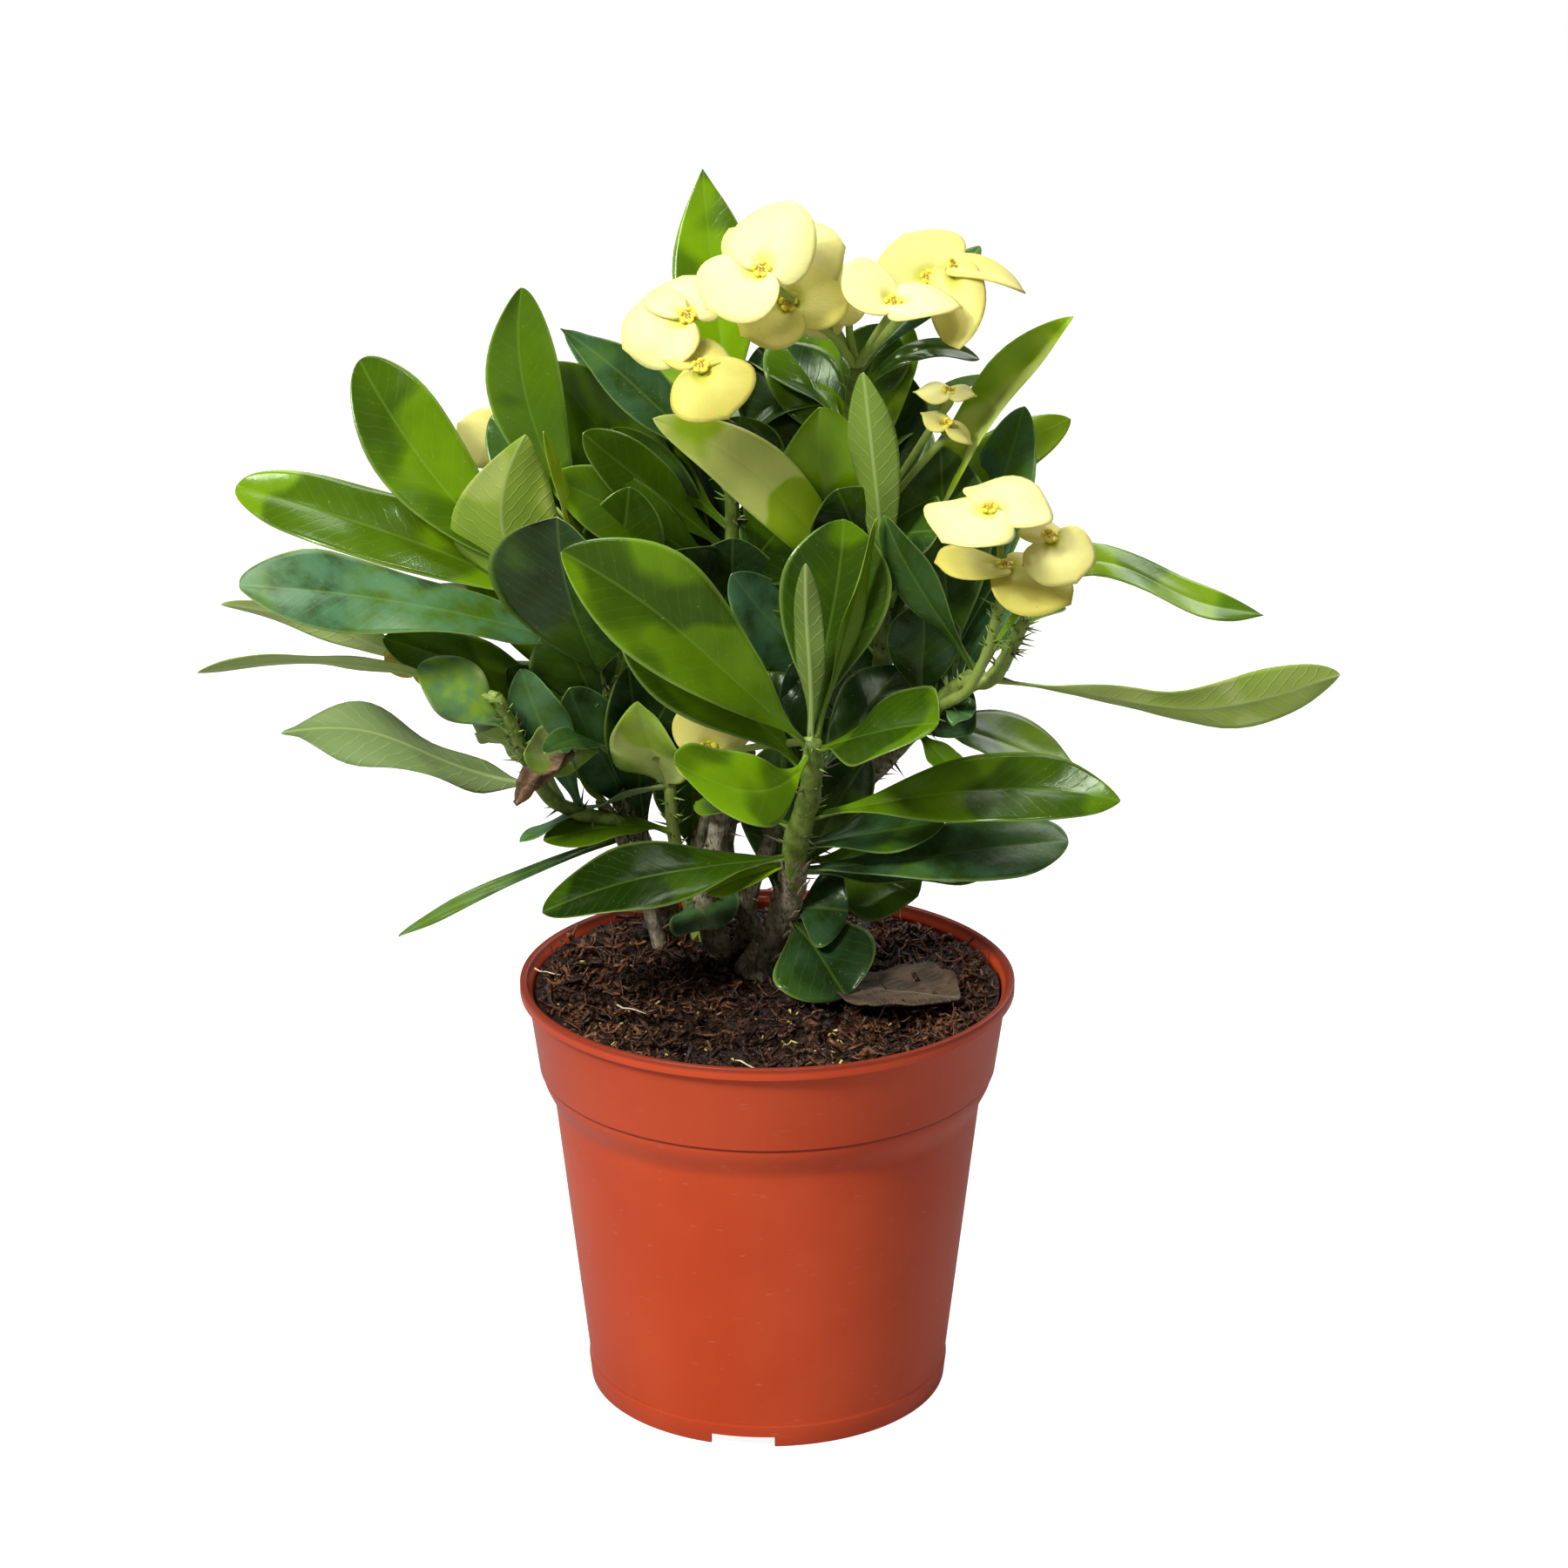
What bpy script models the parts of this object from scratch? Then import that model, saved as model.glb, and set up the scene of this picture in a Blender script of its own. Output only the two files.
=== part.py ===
"""Potted crown-of-thorns euphorbia: pot, soil, stems, leaves and flower heads.

Metres, +Z up. The origin is the centre of the pot's base, and -Y is the front.
"""

from math import cos, log, pi, radians, sin

import bmesh
import bpy
from mathutils import Vector

MM = 0.001

# Pot
RIM_DIAMETER = 0.120
BASE_DIAMETER = 0.088
POT_HEIGHT = 0.105
WALL = 0.0012
LIP_WIDTH = 0.0018  # how far the lip stands out of the band
LIP_HEIGHT = 0.0030
BAND_HEIGHT = 0.0225  # from the lip's top to the band's lower edge
BAND_TAPER = 0.0027  # the band's radius is smaller by this at its lower edge
STEP_HEIGHT = 0.0095  # sloping face under the band
STEP_DEPTH = 0.0037
FOOT_HEIGHT = 0.0055  # ring that the pot stands on
FOOT_GROOVE = 0.0003
FLOOR_HEIGHT = 0.0028  # the floor's underside over the table
NOTCH_COUNT = 3
NOTCH_WIDTH = 0.0155
NOTCH_HEIGHT = 0.0027
NOTCH_ANGLE = -98.0  # degrees, of the front notch
HOLE_COUNT = 6
HOLE_DIAMETER = 0.008
HOLE_RING = 0.050  # diameter of the circle of drain holes
POT_SEGMENTS = 56

# Soil and what lies on it
SOIL_DEPTH = 0.0075  # from the rim down to the soil
SOIL_DOME = 0.0010
CLEARANCE = 0.00035  # between pieces that touch

# Plant
PLANT_SCALE = 1.0
DRAWN_RIM = 0.120  # the rim and the flower heads that the places below were drawn for
DRAWN_FLOWER = 0.027
ROOT_CENTRE = (-12.0, 38.0)  # (right, back) in mm, in the middle of the stems' feet
STEM_SIDES = 8
LEAF_THICKNESS = 0.0007
PETIOLE_WIDTH = 0.0018
PETIOLE_SHARE = 0.06  # of the leaf's length
LEAF_ROWS = (0.0, 0.09, 0.2, 0.32, 0.45, 0.58, 0.7, 0.81, 0.91, 1.0)
WIDEST = 0.64  # where along its blade a leaf is widest
BLUNTNESS = 0.8  # a lower power gives a rounder tip
FLOWER_DIAMETER = 0.027
FLOWER_SIDES = 14
BRACT_THICKNESS = 0.0008
BRACT_LIFT = 0.12  # rise of the saddle's high sides, as a share of its radius
CUP_DIAMETER = 0.0044
CUP_HEIGHT = 0.0022
NECK_HEIGHT = 0.0025  # from the stalk's end to the middle of the bracts
PEDICEL_DIAMETER = 0.0018
DRY_ROWS = 7
DRY_COLUMNS = 4

rimRadius = RIM_DIAMETER / 2
baseRadius = BASE_DIAMETER / 2
bandRadius = rimRadius - LIP_WIDTH
bandLow = POT_HEIGHT - BAND_HEIGHT
stepLow = bandLow - STEP_HEIGHT
stepRadius = bandRadius - BAND_TAPER - STEP_DEPTH
soilTop = POT_HEIGHT - SOIL_DEPTH
soilLevel = soilTop + SOIL_DOME + CLEARANCE  # the lowest that a piece on the soil reaches
rimShare = RIM_DIAMETER / DRAWN_RIM

# Each stem: its radius at the bottom and at the top in mm, and its route as
# (right, back, up from the soil) in mm.
STEMS = {
    "front_stem": {
        "radii": (4.4, 3.1),
        "route": [(-3, 15, 0), (-3, 15, 2), (3, 11, 15), (6, 5, 28), (7, 0, 40), (10, -5, 54),
                  (11, -12, 70)],
    },
    "slender_stem": {
        "radii": (1.9, 1.5),
        "route": [(-17, 35, 0), (-17, 35, 2), (-20, 34, 14), (-23, 30, 31), (-24, 26, 45),
                  (-25, 22, 55)],
    },
    "left_stem": {
        "radii": (3.3, 1.9),
        "route": [(-24, 41, 0), (-24, 41, 3), (-26, 38, 14), (-31, 34, 27), (-36, 28, 42),
                  (-38, 22, 59), (-39, 14, 79), (-40, 9, 96), (-39, 6, 111)],
    },
    "left_branch": {
        "radii": (2.0, 1.6),
        "route": [(-37, 21, 38), (-47, 15, 43), (-54, 10, 50), (-60, 4, 66), (-64, 0, 77)],
    },
    "back_stem": {
        "radii": (2.9, 1.4),
        "route": [(-15, 47, 0), (-15, 47, 3), (-18, 46, 20), (-14, 44, 37), (-10, 40, 53),
                  (-8, 36, 75), (-8, 30, 101), (-9, 22, 131), (-12, 12, 146), (-14, 4, 150)],
    },
    "right_stem": {
        "radii": (3.9, 2.3),
        "route": [(3, 37, 0), (3, 37, 3), (6, 36, 18), (14, 34, 32), (23, 28, 45), (34, 20, 60),
                  (41, 12, 71), (51, 6, 82)],
    },
    "centre_stem": {
        "radii": (2.8, 1.7),
        "route": [(24, 34, 53), (27, 27, 63), (28, 21, 80), (27, 18, 98), (24, 16, 118),
                  (20, 15, 137), (21, 13, 154)],
    },
    "right_peduncle": {
        "radii": (1.4, 1.1),
        "route": [(44, 6, 74), (48, 0, 79), (52, -5, 90), (54, -9, 101), (55, -12, 107)],
    },
}

# Each leaf: its stem, how far up the stem it sits (0 to 1), the tip's place from the
# middle of the stem there as (right, back, up) in mm, its width in mm, and the way its upper side
# looks. The rest is optional: arch and bow are shares of the length, fold and twist are
# degrees, and widest is where along the leaf it is widest.
LEAVES = {
    "front_leaf_1": {"stem": "front_stem", "at": 0.97, "reach": (-58, -15, 52), "width": 27,
                     "face": (0.2, -0.8, 0.6), "arch": 0.1, "fold": 10},
    "front_leaf_2": {"stem": "front_stem", "at": 0.86, "reach": (-49, 0, 49), "width": 22,
                     "face": (0.2, -0.7, 0.7), "arch": 0.05, "fold": 8},
    "front_leaf_3": {"stem": "front_stem", "at": 1.0, "reach": (7, 14, 50), "width": 24,
                     "face": (-0.1, -1.0, 0.3), "arch": -0.03, "fold": 12},
    "front_leaf_4": {"stem": "front_stem", "at": 1.0, "reach": (-2, -10, 46), "width": 8,
                     "face": (0.3, 1.0, 0.2), "fold": 20, "widest": 0.5},
    "front_leaf_5": {"stem": "front_stem", "at": 0.95, "reach": (-32, -28, 7), "width": 23,
                     "face": (-0.1, -0.75, 0.65), "bow": -0.22, "fold": 6},
    "front_leaf_6": {"stem": "front_stem", "at": 0.52, "reach": (-60, -18, -9), "width": 15,
                     "face": (0.0, -0.4, 0.9), "arch": 0.07, "fold": 5},
    "front_leaf_7": {"stem": "front_stem", "at": 0.27, "reach": (15, -19, -14), "width": 25,
                     "face": (0.1, -0.7, 0.7), "arch": 0.1, "widest": 0.6},
    "front_leaf_8": {"stem": "front_stem", "at": 0.69, "reach": (74, -19, 9), "width": 20,
                     "face": (0.0, -0.6, 0.8), "arch": 0.07, "fold": 6},
    "front_leaf_9": {"stem": "front_stem", "at": 0.47, "reach": (66, -3, 4), "width": 19,
                     "face": (0.0, -0.4, 0.9), "widest": 0.7, "blunt": 0.6},
    "front_leaf_10": {"stem": "front_stem", "at": 0.97, "reach": (28, -31, 16), "width": 22,
                      "face": (-0.2, -0.45, 0.85), "arch": 0.03, "fold": 8},
    "left_leaf_1": {"stem": "left_stem", "at": 0.9, "reach": (-57, 18, 53), "width": 23,
                    "face": (0.4, -0.9, 0.4), "bow": -0.08, "fold": 8, "widest": 0.7, "blunt": 0.6},
    "left_leaf_2": {"stem": "left_stem", "at": 0.83, "reach": (-87, 14, 30), "width": 20,
                    "face": (0.1, -0.7, 0.7), "arch": 0.05, "fold": 8, "blunt": 0.65},
    "left_leaf_3": {"stem": "left_stem", "at": 0.77, "reach": (-82, -26, 26), "width": 23,
                    "face": (0.0, -0.5, 0.85), "arch": 0.05, "fold": 4, "blunt": 0.6},
    "left_leaf_4": {"stem": "left_stem", "at": 0.84, "reach": (-16, -16, 50), "width": 24,
                    "face": (0.1, 0.9, 0.3), "bow": 0.25, "fold": 10, "widest": 0.6},
    "left_leaf_5": {"stem": "left_stem", "at": 0.7, "reach": (-15, -33, 46), "width": 25,
                    "face": (-0.4, -0.85, 0.4), "arch": 0.06, "fold": 10},
    "left_leaf_6": {"stem": "left_stem", "at": 0.98, "reach": (-17, 8, 64), "width": 16,
                    "face": (0.2, -1.0, 0.2), "bow": -0.12, "fold": 10},
    "left_leaf_7": {"stem": "left_stem", "at": 0.29, "reach": (-57, -26, -18), "width": 10,
                    "face": (-0.3, 0.5, 0.8), "arch": 0.05},
    "left_leaf_8": {"stem": "left_stem", "at": 0.62, "reach": (-44, 34, -1), "width": 19,
                    "face": (-0.1, 0.3, 0.9), "arch": 0.1},
    "branch_leaf_1": {"stem": "left_branch", "at": 0.48, "reach": (-60, -15, 17), "width": 18,
                      "face": (0.1, -0.5, 0.9), "arch": 0.06, "twist": 20},
    "branch_leaf_2": {"stem": "left_branch", "at": 0.92, "reach": (-68, 21, 19), "width": 12,
                      "face": (0.2, 0.9, 0.5), "arch": 0.08},
    "branch_leaf_3": {"stem": "left_branch", "at": 0.99, "reach": (-70, -8, 10), "width": 12,
                      "face": (0.0, 0.5, 0.9), "arch": 0.08},
    "back_leaf_1": {"stem": "back_stem", "at": 0.8, "reach": (-34, -3, 32), "width": 16,
                    "face": (0.4, -0.9, 0.4), "arch": 0.05, "fold": 12},
    "back_leaf_2": {"stem": "back_stem", "at": 0.84, "reach": (-6, 25, 62), "width": 20,
                    "face": (0.1, -1.0, 0.3), "bow": 0.03, "fold": 8, "widest": 0.56, "blunt": 1.0},
    "back_leaf_3": {"stem": "back_stem", "at": 0.6, "reach": (-25, 25, 27), "width": 19,
                    "face": (0.2, -0.2, 0.9), "arch": 0.1},
    "back_leaf_4": {"stem": "back_stem", "at": 0.62, "reach": (-43, -28, 32), "width": 18,
                    "face": (-0.2, -0.8, 0.6), "arch": 0.05, "fold": 6},
    "centre_leaf_1": {"stem": "centre_stem", "at": 0.36, "reach": (-54, -30, 60), "width": 14,
                      "face": (0.3, -0.9, 0.6), "bow": 0.07, "arch": 0.05, "fold": 6},
    "centre_leaf_2": {"stem": "centre_stem", "at": 0.44, "reach": (-17, -11, 49), "width": 25,
                      "face": (0.0, -1.0, 0.1), "bow": -0.1, "arch": 0.02, "fold": 8},
    "centre_leaf_3": {"stem": "centre_stem", "at": 0.42, "reach": (-5, -22, 63), "width": 12,
                      "face": (0.3, 1.0, 0.2), "arch": -0.04, "bow": -0.03, "fold": 14},
    "centre_leaf_4": {"stem": "centre_stem", "at": 0.58, "reach": (6, 15, 39), "width": 19,
                      "face": (-0.2, -1.0, 0.3), "fold": 8},
    "centre_leaf_5": {"stem": "centre_stem", "at": 0.75, "reach": (-18, 25, 30), "width": 21,
                      "face": (0.1, -0.9, 0.5), "fold": 8},
    "centre_leaf_6": {"stem": "centre_stem", "at": 0.4, "reach": (46, 5, 72), "width": 14,
                      "face": (-0.6, -0.8, 0.3), "arch": 0.05, "fold": 20, "widest": 0.7},
    "centre_leaf_7": {"stem": "centre_stem", "at": 0.33, "reach": (15, 2, 48), "width": 16,
                      "face": (-0.2, -1.0, 0.2), "fold": 8},
    "centre_leaf_8": {"stem": "centre_stem", "at": 0.5, "reach": (10, 38, 29), "width": 18,
                      "face": (-0.2, -0.2, 0.9), "arch": 0.08},
    "right_leaf_1": {"stem": "right_stem", "at": 0.84, "reach": (21, 20, 69), "width": 18,
                     "face": (-0.4, -1.0, 0.3), "fold": 10},
    "right_leaf_2": {"stem": "right_stem", "at": 0.98, "reach": (70, 15, 10), "width": 14,
                     "face": (0.1, -0.5, 0.85), "arch": 0.22, "fold": 8},
    "right_leaf_3": {"stem": "right_stem", "at": 0.97, "reach": (86, -13, 3), "width": 18,
                     "face": (0.0, 0.35, 0.95), "arch": -0.07, "twist": 60, "widest": 0.74},
    "right_leaf_4": {"stem": "right_stem", "at": 0.25, "reach": (29, -15, -7), "width": 20,
                     "face": (0.1, -0.7, 0.7), "arch": 0.08},
    "right_leaf_5": {"stem": "right_stem", "at": 0.78, "reach": (40, 19, -19), "width": 21,
                     "face": (0.2, -0.4, 0.9), "arch": 0.01, "widest": 0.58},
}

# Each flower head: the stem whose top it grows from, its middle as (right, back, up from
# the soil) in mm, the way it looks, and its size against FLOWER_DIAMETER. A stalk that
# bends round another flower passes through "via".
FLOWERS = {
    "top_flower_1": {"stem": "back_stem", "place": (-24, -4, 171), "face": (-0.2, -0.75, 0.65),
                     "size": 0.95},
    "top_flower_2": {"stem": "centre_stem", "place": (-1, -13, 180), "face": (-0.2, -0.5, 0.85),
                     "size": 1.05, "via": (13, -3, 166)},
    "top_flower_3": {"stem": "centre_stem", "place": (1, 17, 184), "face": (-0.3, -0.1, 0.95),
                     "size": 0.95, "via": (20, 19, 169)},
    "top_flower_4": {"stem": "centre_stem", "place": (5, 14, 168), "face": (0.1, -0.2, 0.95),
                     "size": 0.95},
    "top_flower_5": {"stem": "centre_stem", "place": (31, -6, 177), "face": (0.1, -0.4, 0.9),
                     "size": 1.0},
    "top_flower_6": {"stem": "centre_stem", "place": (44, 18, 177), "face": (0.5, 0.3, 0.8),
                     "size": 1.05},
    "top_flower_7": {"stem": "back_stem", "place": (-13, -14, 157), "face": (0.1, -0.5, 0.85),
                     "size": 0.8},
    "right_flower_1": {"stem": "right_peduncle", "place": (51, -24, 129),
                       "face": (-0.1, -0.3, 0.95), "size": 1.05, "via": (54, -8, 119)},
    "right_flower_2": {"stem": "right_peduncle", "place": (67, -6, 117),
                       "face": (0.2, -0.3, 0.9), "size": 0.8},
    "right_flower_3": {"stem": "right_peduncle", "place": (56, -29, 114),
                       "face": (0.1, -0.7, 0.7), "size": 1.0},
}

# Dead leaves: where each starts and how far it reaches, as (right, back, up) in mm, its
# width in mm, and how far it is rolled about its length, in degrees. "where" says
# whether it keeps its place on the soil or on the plant.
DRY_LEAVES = {
    "fallen_leaf": {"where": "soil", "foot": (21, 4, 1), "reach": (25, -8, 1), "width": 19,
                    "curl": 1},
    "dried_leaf": {"where": "plant", "foot": (-48, 3, 60), "reach": (-13, -4, -11), "width": 8,
                   "curl": 70},
}


def clear_scene():
    for item in list(bpy.data.objects):
        bpy.data.objects.remove(item, do_unlink=True)


def new_collection(name):
    collection = bpy.data.collections.new(name)
    bpy.context.scene.collection.children.link(collection)
    return collection


def principled(name, colour, roughness):
    material = bpy.data.materials.new(name)
    material.use_nodes = True
    shader = material.node_tree.nodes["Principled BSDF"]
    shader.inputs["Base Color"].default_value = (*colour, 1.0)
    shader.inputs["Roughness"].default_value = roughness
    return material


def add_object(name, mesh, material, collection):
    item = bpy.data.objects.new(name, mesh)
    item.data.materials.append(material)
    collection.objects.link(item)
    return item


def finish_mesh(bm, name):
    mesh = bpy.data.meshes.new(name)
    bmesh.ops.recalc_face_normals(bm, faces=bm.faces)
    bm.to_mesh(mesh)
    bm.free()
    mesh.shade_smooth()
    return mesh


def turned(name, profile, segments, material, collection):
    """A solid of revolution about Z, from (radius, height) pairs that run down the outside."""
    mesh = bpy.data.meshes.new(name)
    points = [(radius, 0.0, height) for radius, height in profile]
    mesh.from_pydata(points, [(i, i + 1) for i in range(len(points) - 1)], [])
    item = add_object(name, mesh, material, collection)
    screw = item.modifiers.new("Turn", "SCREW")
    screw.steps = screw.render_steps = segments
    screw.use_merge_vertices = True
    screw.merge_threshold = 0.00001
    return item


def cut(item, cutter):
    boolean = item.modifiers.new("Cut " + cutter.name, "BOOLEAN")
    boolean.operation = "DIFFERENCE"
    boolean.object = cutter


def hide_cutter(cutter):
    cutter.hide_render = True
    cutter.display_type = "WIRE"


def wall_radius(height):
    """Outer radius of the pot's straight wall, between its foot and the step."""
    share = height / stepLow
    return baseRadius + share * (stepRadius - baseRadius)


def pot_outside():
    """The pot's outer outline, top to bottom, from the lip to the foot."""
    bevel = LIP_HEIGHT / 4
    return [
        (rimRadius - bevel, POT_HEIGHT),
        (rimRadius, POT_HEIGHT - bevel),
        (rimRadius, POT_HEIGHT - LIP_HEIGHT + bevel),
        (bandRadius, POT_HEIGHT - LIP_HEIGHT),
        (bandRadius - BAND_TAPER, bandLow),
        (stepRadius, stepLow),
        (wall_radius(FOOT_HEIGHT) - FOOT_GROOVE, FOOT_HEIGHT + FOOT_GROOVE),
        (wall_radius(FOOT_HEIGHT), FOOT_HEIGHT),
        (baseRadius, 0.0),
    ]


def pot_inside(gap):
    """The pot's inner outline from its floor up to the rim, moved inwards by gap."""
    inset = WALL + gap
    floor = FLOOR_HEIGHT + WALL + gap
    return [
        (wall_radius(floor) - inset, floor),
        (stepRadius - inset, stepLow),
        (bandRadius - BAND_TAPER - inset, bandLow),
        (bandRadius - inset, POT_HEIGHT),
    ]


def make_pot(collection, cutters, material):
    inner = pot_inside(0.0)
    footInner = baseRadius - WALL
    profile = [(inner[-1][0], POT_HEIGHT)] + pot_outside()
    profile += [(footInner, 0.0), (wall_radius(FLOOR_HEIGHT) - WALL, FLOOR_HEIGHT)]
    profile += [(0.0, FLOOR_HEIGHT), (0.0, FLOOR_HEIGHT + WALL)] + inner
    pot = turned("pot", profile, POT_SEGMENTS, material, collection)
    for index in range(NOTCH_COUNT):
        angle = radians(NOTCH_ANGLE + index * 360.0 / NOTCH_COUNT)
        centre = (baseRadius * cos(angle), baseRadius * sin(angle), 0.0)
        bpy.ops.mesh.primitive_cube_add(size=1.0, location=centre, rotation=(0.0, 0.0, angle))
        notch = bpy.context.object
        notch.name = f"notch_cutter_{index + 1}"
        notch.scale = (WALL * 5, NOTCH_WIDTH, NOTCH_HEIGHT * 2)
        keep_cutter(notch, cutters)
        cut(pot, notch)
    for index in range(HOLE_COUNT):
        angle = 2 * pi * index / HOLE_COUNT
        centre = (HOLE_RING / 2 * cos(angle), HOLE_RING / 2 * sin(angle), FLOOR_HEIGHT)
        bpy.ops.mesh.primitive_cylinder_add(
            vertices=12, radius=HOLE_DIAMETER / 2, depth=WALL * 4, location=centre
        )
        hole = bpy.context.object
        hole.name = f"hole_cutter_{index + 1}"
        keep_cutter(hole, cutters)
        cut(pot, hole)
    return pot


def keep_cutter(cutter, cutters):
    for holder in list(cutter.users_collection):
        holder.objects.unlink(cutter)
    cutters.objects.link(cutter)
    hide_cutter(cutter)


def make_soil(collection, material):
    """The potting mix: it fills the pot, and its top is a low dome."""
    bottom, step, band, _ = pot_inside(CLEARANCE)
    rise = (soilTop - bandLow) / (POT_HEIGHT - bandLow)
    edge = band[0] + rise * BAND_TAPER
    profile = [(0.0, soilTop + SOIL_DOME)]
    for share in (0.4, 0.75):
        profile.append((edge * share, soilTop + SOIL_DOME * cos(share * pi / 2)))
    profile += [(edge, soilTop), band, step, bottom, (0.0, bottom[1])]
    return turned("soil", profile, POT_SEGMENTS // 2, material, collection)


def place(point):
    """A point given in mm from the soil's level, in metres.

    The plant is scaled about the middle of its feet, which keeps its place in the pot.
    """
    centre = Vector((*ROOT_CENTRE, 0.0)) * MM
    grown = (Vector(point) * MM - centre) * PLANT_SCALE
    return centre * rimShare + grown + Vector((0.0, 0.0, soilLevel))


def on_soil(point):
    """A point given in mm from the soil's level, in metres, which keeps its place in the pot."""
    right, back, up = (value * MM for value in point)
    return Vector((right * rimShare, back * rimShare, soilLevel + up))


def route_of(name):
    return [place(point) for point in STEMS[name]["route"]]


def along(name, share):
    """The point, the direction and the radius of a stem at a share of its length."""
    points = route_of(name)
    lengths = [(b - a).length for a, b in zip(points, points[1:])]
    target = share * sum(lengths)
    low, high = (radius * MM * PLANT_SCALE for radius in STEMS[name]["radii"])
    for start, end, length in zip(points, points[1:], lengths):
        if target <= length:
            break
        target -= length
    else:
        target = length
    point = start.lerp(end, target / length)
    return point, (end - start).normalized(), low + (high - low) * share


def make_stem(name, collection, material):
    """A tapering tube along the stem's route."""
    points = route_of(name)
    low, high = STEMS[name]["radii"]
    curve = bpy.data.curves.new(name, "CURVE")
    curve.dimensions = "3D"
    curve.bevel_depth = MM * PLANT_SCALE
    curve.bevel_resolution = STEM_SIDES // 4
    curve.use_fill_caps = True
    spline = curve.splines.new("POLY")
    spline.points.add(len(points) - 1)
    whole = sum((b - a).length for a, b in zip(points, points[1:]))
    passed = 0.0
    for index, point in enumerate(points):
        if index:
            passed += (point - points[index - 1]).length
        spline.points[index].co = (*point, 1.0)
        spline.points[index].radius = low + (high - low) * passed / whole
    return add_object(name, curve, material, collection)


def loft(bm, rings):
    """Faces between each ring and the next, and a cap on both ends."""
    for lower, upper in zip(rings, rings[1:]):
        count = len(lower)
        for index in range(count):
            after = (index + 1) % count
            bm.faces.new((lower[index], lower[after], upper[after], upper[index]))
    bm.faces.new(rings[0])
    bm.faces.new(rings[-1])


def leaf_half_width(leaf, share):
    """Half the leaf's width at a share of its length: a petiole, then an egg-shaped blade."""
    blade = max(share - PETIOLE_SHARE, 0.0) / (1.0 - PETIOLE_SHARE)
    power = log(0.5) / log(leaf.get("widest", WIDEST))
    bulge = max(sin(pi * blade**power), 0.0) ** leaf.get("blunt", BLUNTNESS)
    return max(PETIOLE_WIDTH, leaf["width"] * MM * bulge) / 2 * PLANT_SCALE


def leaf_frame(leaf):
    """Where a leaf starts, its direction with its length, and the way its face looks."""
    middle, ahead, radius = along(leaf["stem"], leaf["at"])
    reach = Vector(leaf["reach"]) * MM * PLANT_SCALE
    outward = (reach - ahead * reach.dot(ahead)).normalized()
    offset = outward * (radius + CLEARANCE + LEAF_THICKNESS)
    foot = middle + offset
    reach -= offset
    face = Vector(leaf["face"])
    face = (face - reach * face.dot(reach) / reach.length_squared).normalized()
    return foot, reach, face


def leaf_point(leaf, share, across):
    """A point of the leaf's blade: share runs from foot to tip, across from -1 to 1."""
    foot, reach, face = leaf_frame(leaf)
    side = reach.normalized().cross(face)
    turn = radians(leaf.get("twist", 0.0)) * share
    side, face = side * cos(turn) + face * sin(turn), face * cos(turn) - side * sin(turn)
    bulge = 4 * share * (1 - share) * reach.length
    half = leaf_half_width(leaf, share)
    fold = radians(leaf.get("fold", 0.0))
    middle = foot + reach * share + bulge * (leaf.get("arch", 0.0) * face)
    middle += bulge * leaf.get("bow", 0.0) * side
    return middle + half * (across * cos(fold) * side + abs(across) * sin(fold) * face)


def make_leaf(name, collection, material):
    leaf = LEAVES[name]
    rows = len(LEAF_ROWS)
    bm = bmesh.new()
    bmesh.ops.create_grid(bm, x_segments=rows - 1, y_segments=2, size=1.0)
    for vertex in bm.verts:
        row = round((vertex.co.x + 1) / 2 * (rows - 1))
        vertex.co = leaf_point(leaf, LEAF_ROWS[row], vertex.co.y)
    item = add_object(name, finish_mesh(bm, name), material, collection)
    solidify = item.modifiers.new("Thickness", "SOLIDIFY")
    solidify.thickness = LEAF_THICKNESS
    solidify.offset = 0.0
    return item


def make_flower(name, collection, material):
    """A pair of bracts as one saddle-shaped disc, with its cup above and its stalk below."""
    flower = FLOWERS[name]
    root, _, _ = along(flower["stem"], 1.0)
    spreadOut = FLOWER_DIAMETER / DRAWN_FLOWER
    middle = root + (place(flower["place"]) - root) * spreadOut
    via = root.lerp(middle, 0.5)
    if "via" in flower:
        via = root + (place(flower["via"]) - root) * spreadOut
    face = Vector(flower["face"]).normalized()
    neck = middle - face * NECK_HEIGHT * PLANT_SCALE
    setOff = (via - root).normalized()
    climb = (neck - via).normalized()
    radius = FLOWER_DIAMETER / 2 * flower["size"] * PLANT_SCALE
    thin = PEDICEL_DIAMETER / 2 * PLANT_SCALE
    cup = CUP_DIAMETER / 2 * PLANT_SCALE
    low = BRACT_THICKNESS / 2
    start = root + setOff * (thin * 2 + CLEARANCE)
    # Each section: its middle, the way it looks, its radius, and its share of the saddle.
    sections = (
        (start, setOff, thin / 2, 0.0),
        (start + setOff * thin * 2, setOff, thin, 0.0),
        (via, (setOff + climb).normalized(), thin, 0.0),
        (neck, face, thin, 0.0),
        (middle - face * low, face, cup, 0.0),
        (middle - face * low, face, radius, 1.0),
        (middle + face * low, face, radius, 1.0),
        (middle + face * low, face, cup, 0.0),
        (middle + face * CUP_HEIGHT * PLANT_SCALE, face, cup, 0.0),
    )
    spread = face.orthogonal().normalized()
    bm = bmesh.new()
    rings = []
    for centre, ahead, size, saddle in sections:
        across = (spread - ahead * spread.dot(ahead)).normalized()
        beside = ahead.cross(across)
        corners = []
        for index in range(FLOWER_SIDES):
            angle = 2 * pi * index / FLOWER_SIDES
            lift = saddle * BRACT_LIFT * radius * cos(2 * angle)
            point = centre + size * (cos(angle) * across + sin(angle) * beside)
            corners.append(bm.verts.new(point + face * lift))
        rings.append(corners)
    loft(bm, rings)
    return add_object(name, finish_mesh(bm, name), material, collection)


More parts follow.
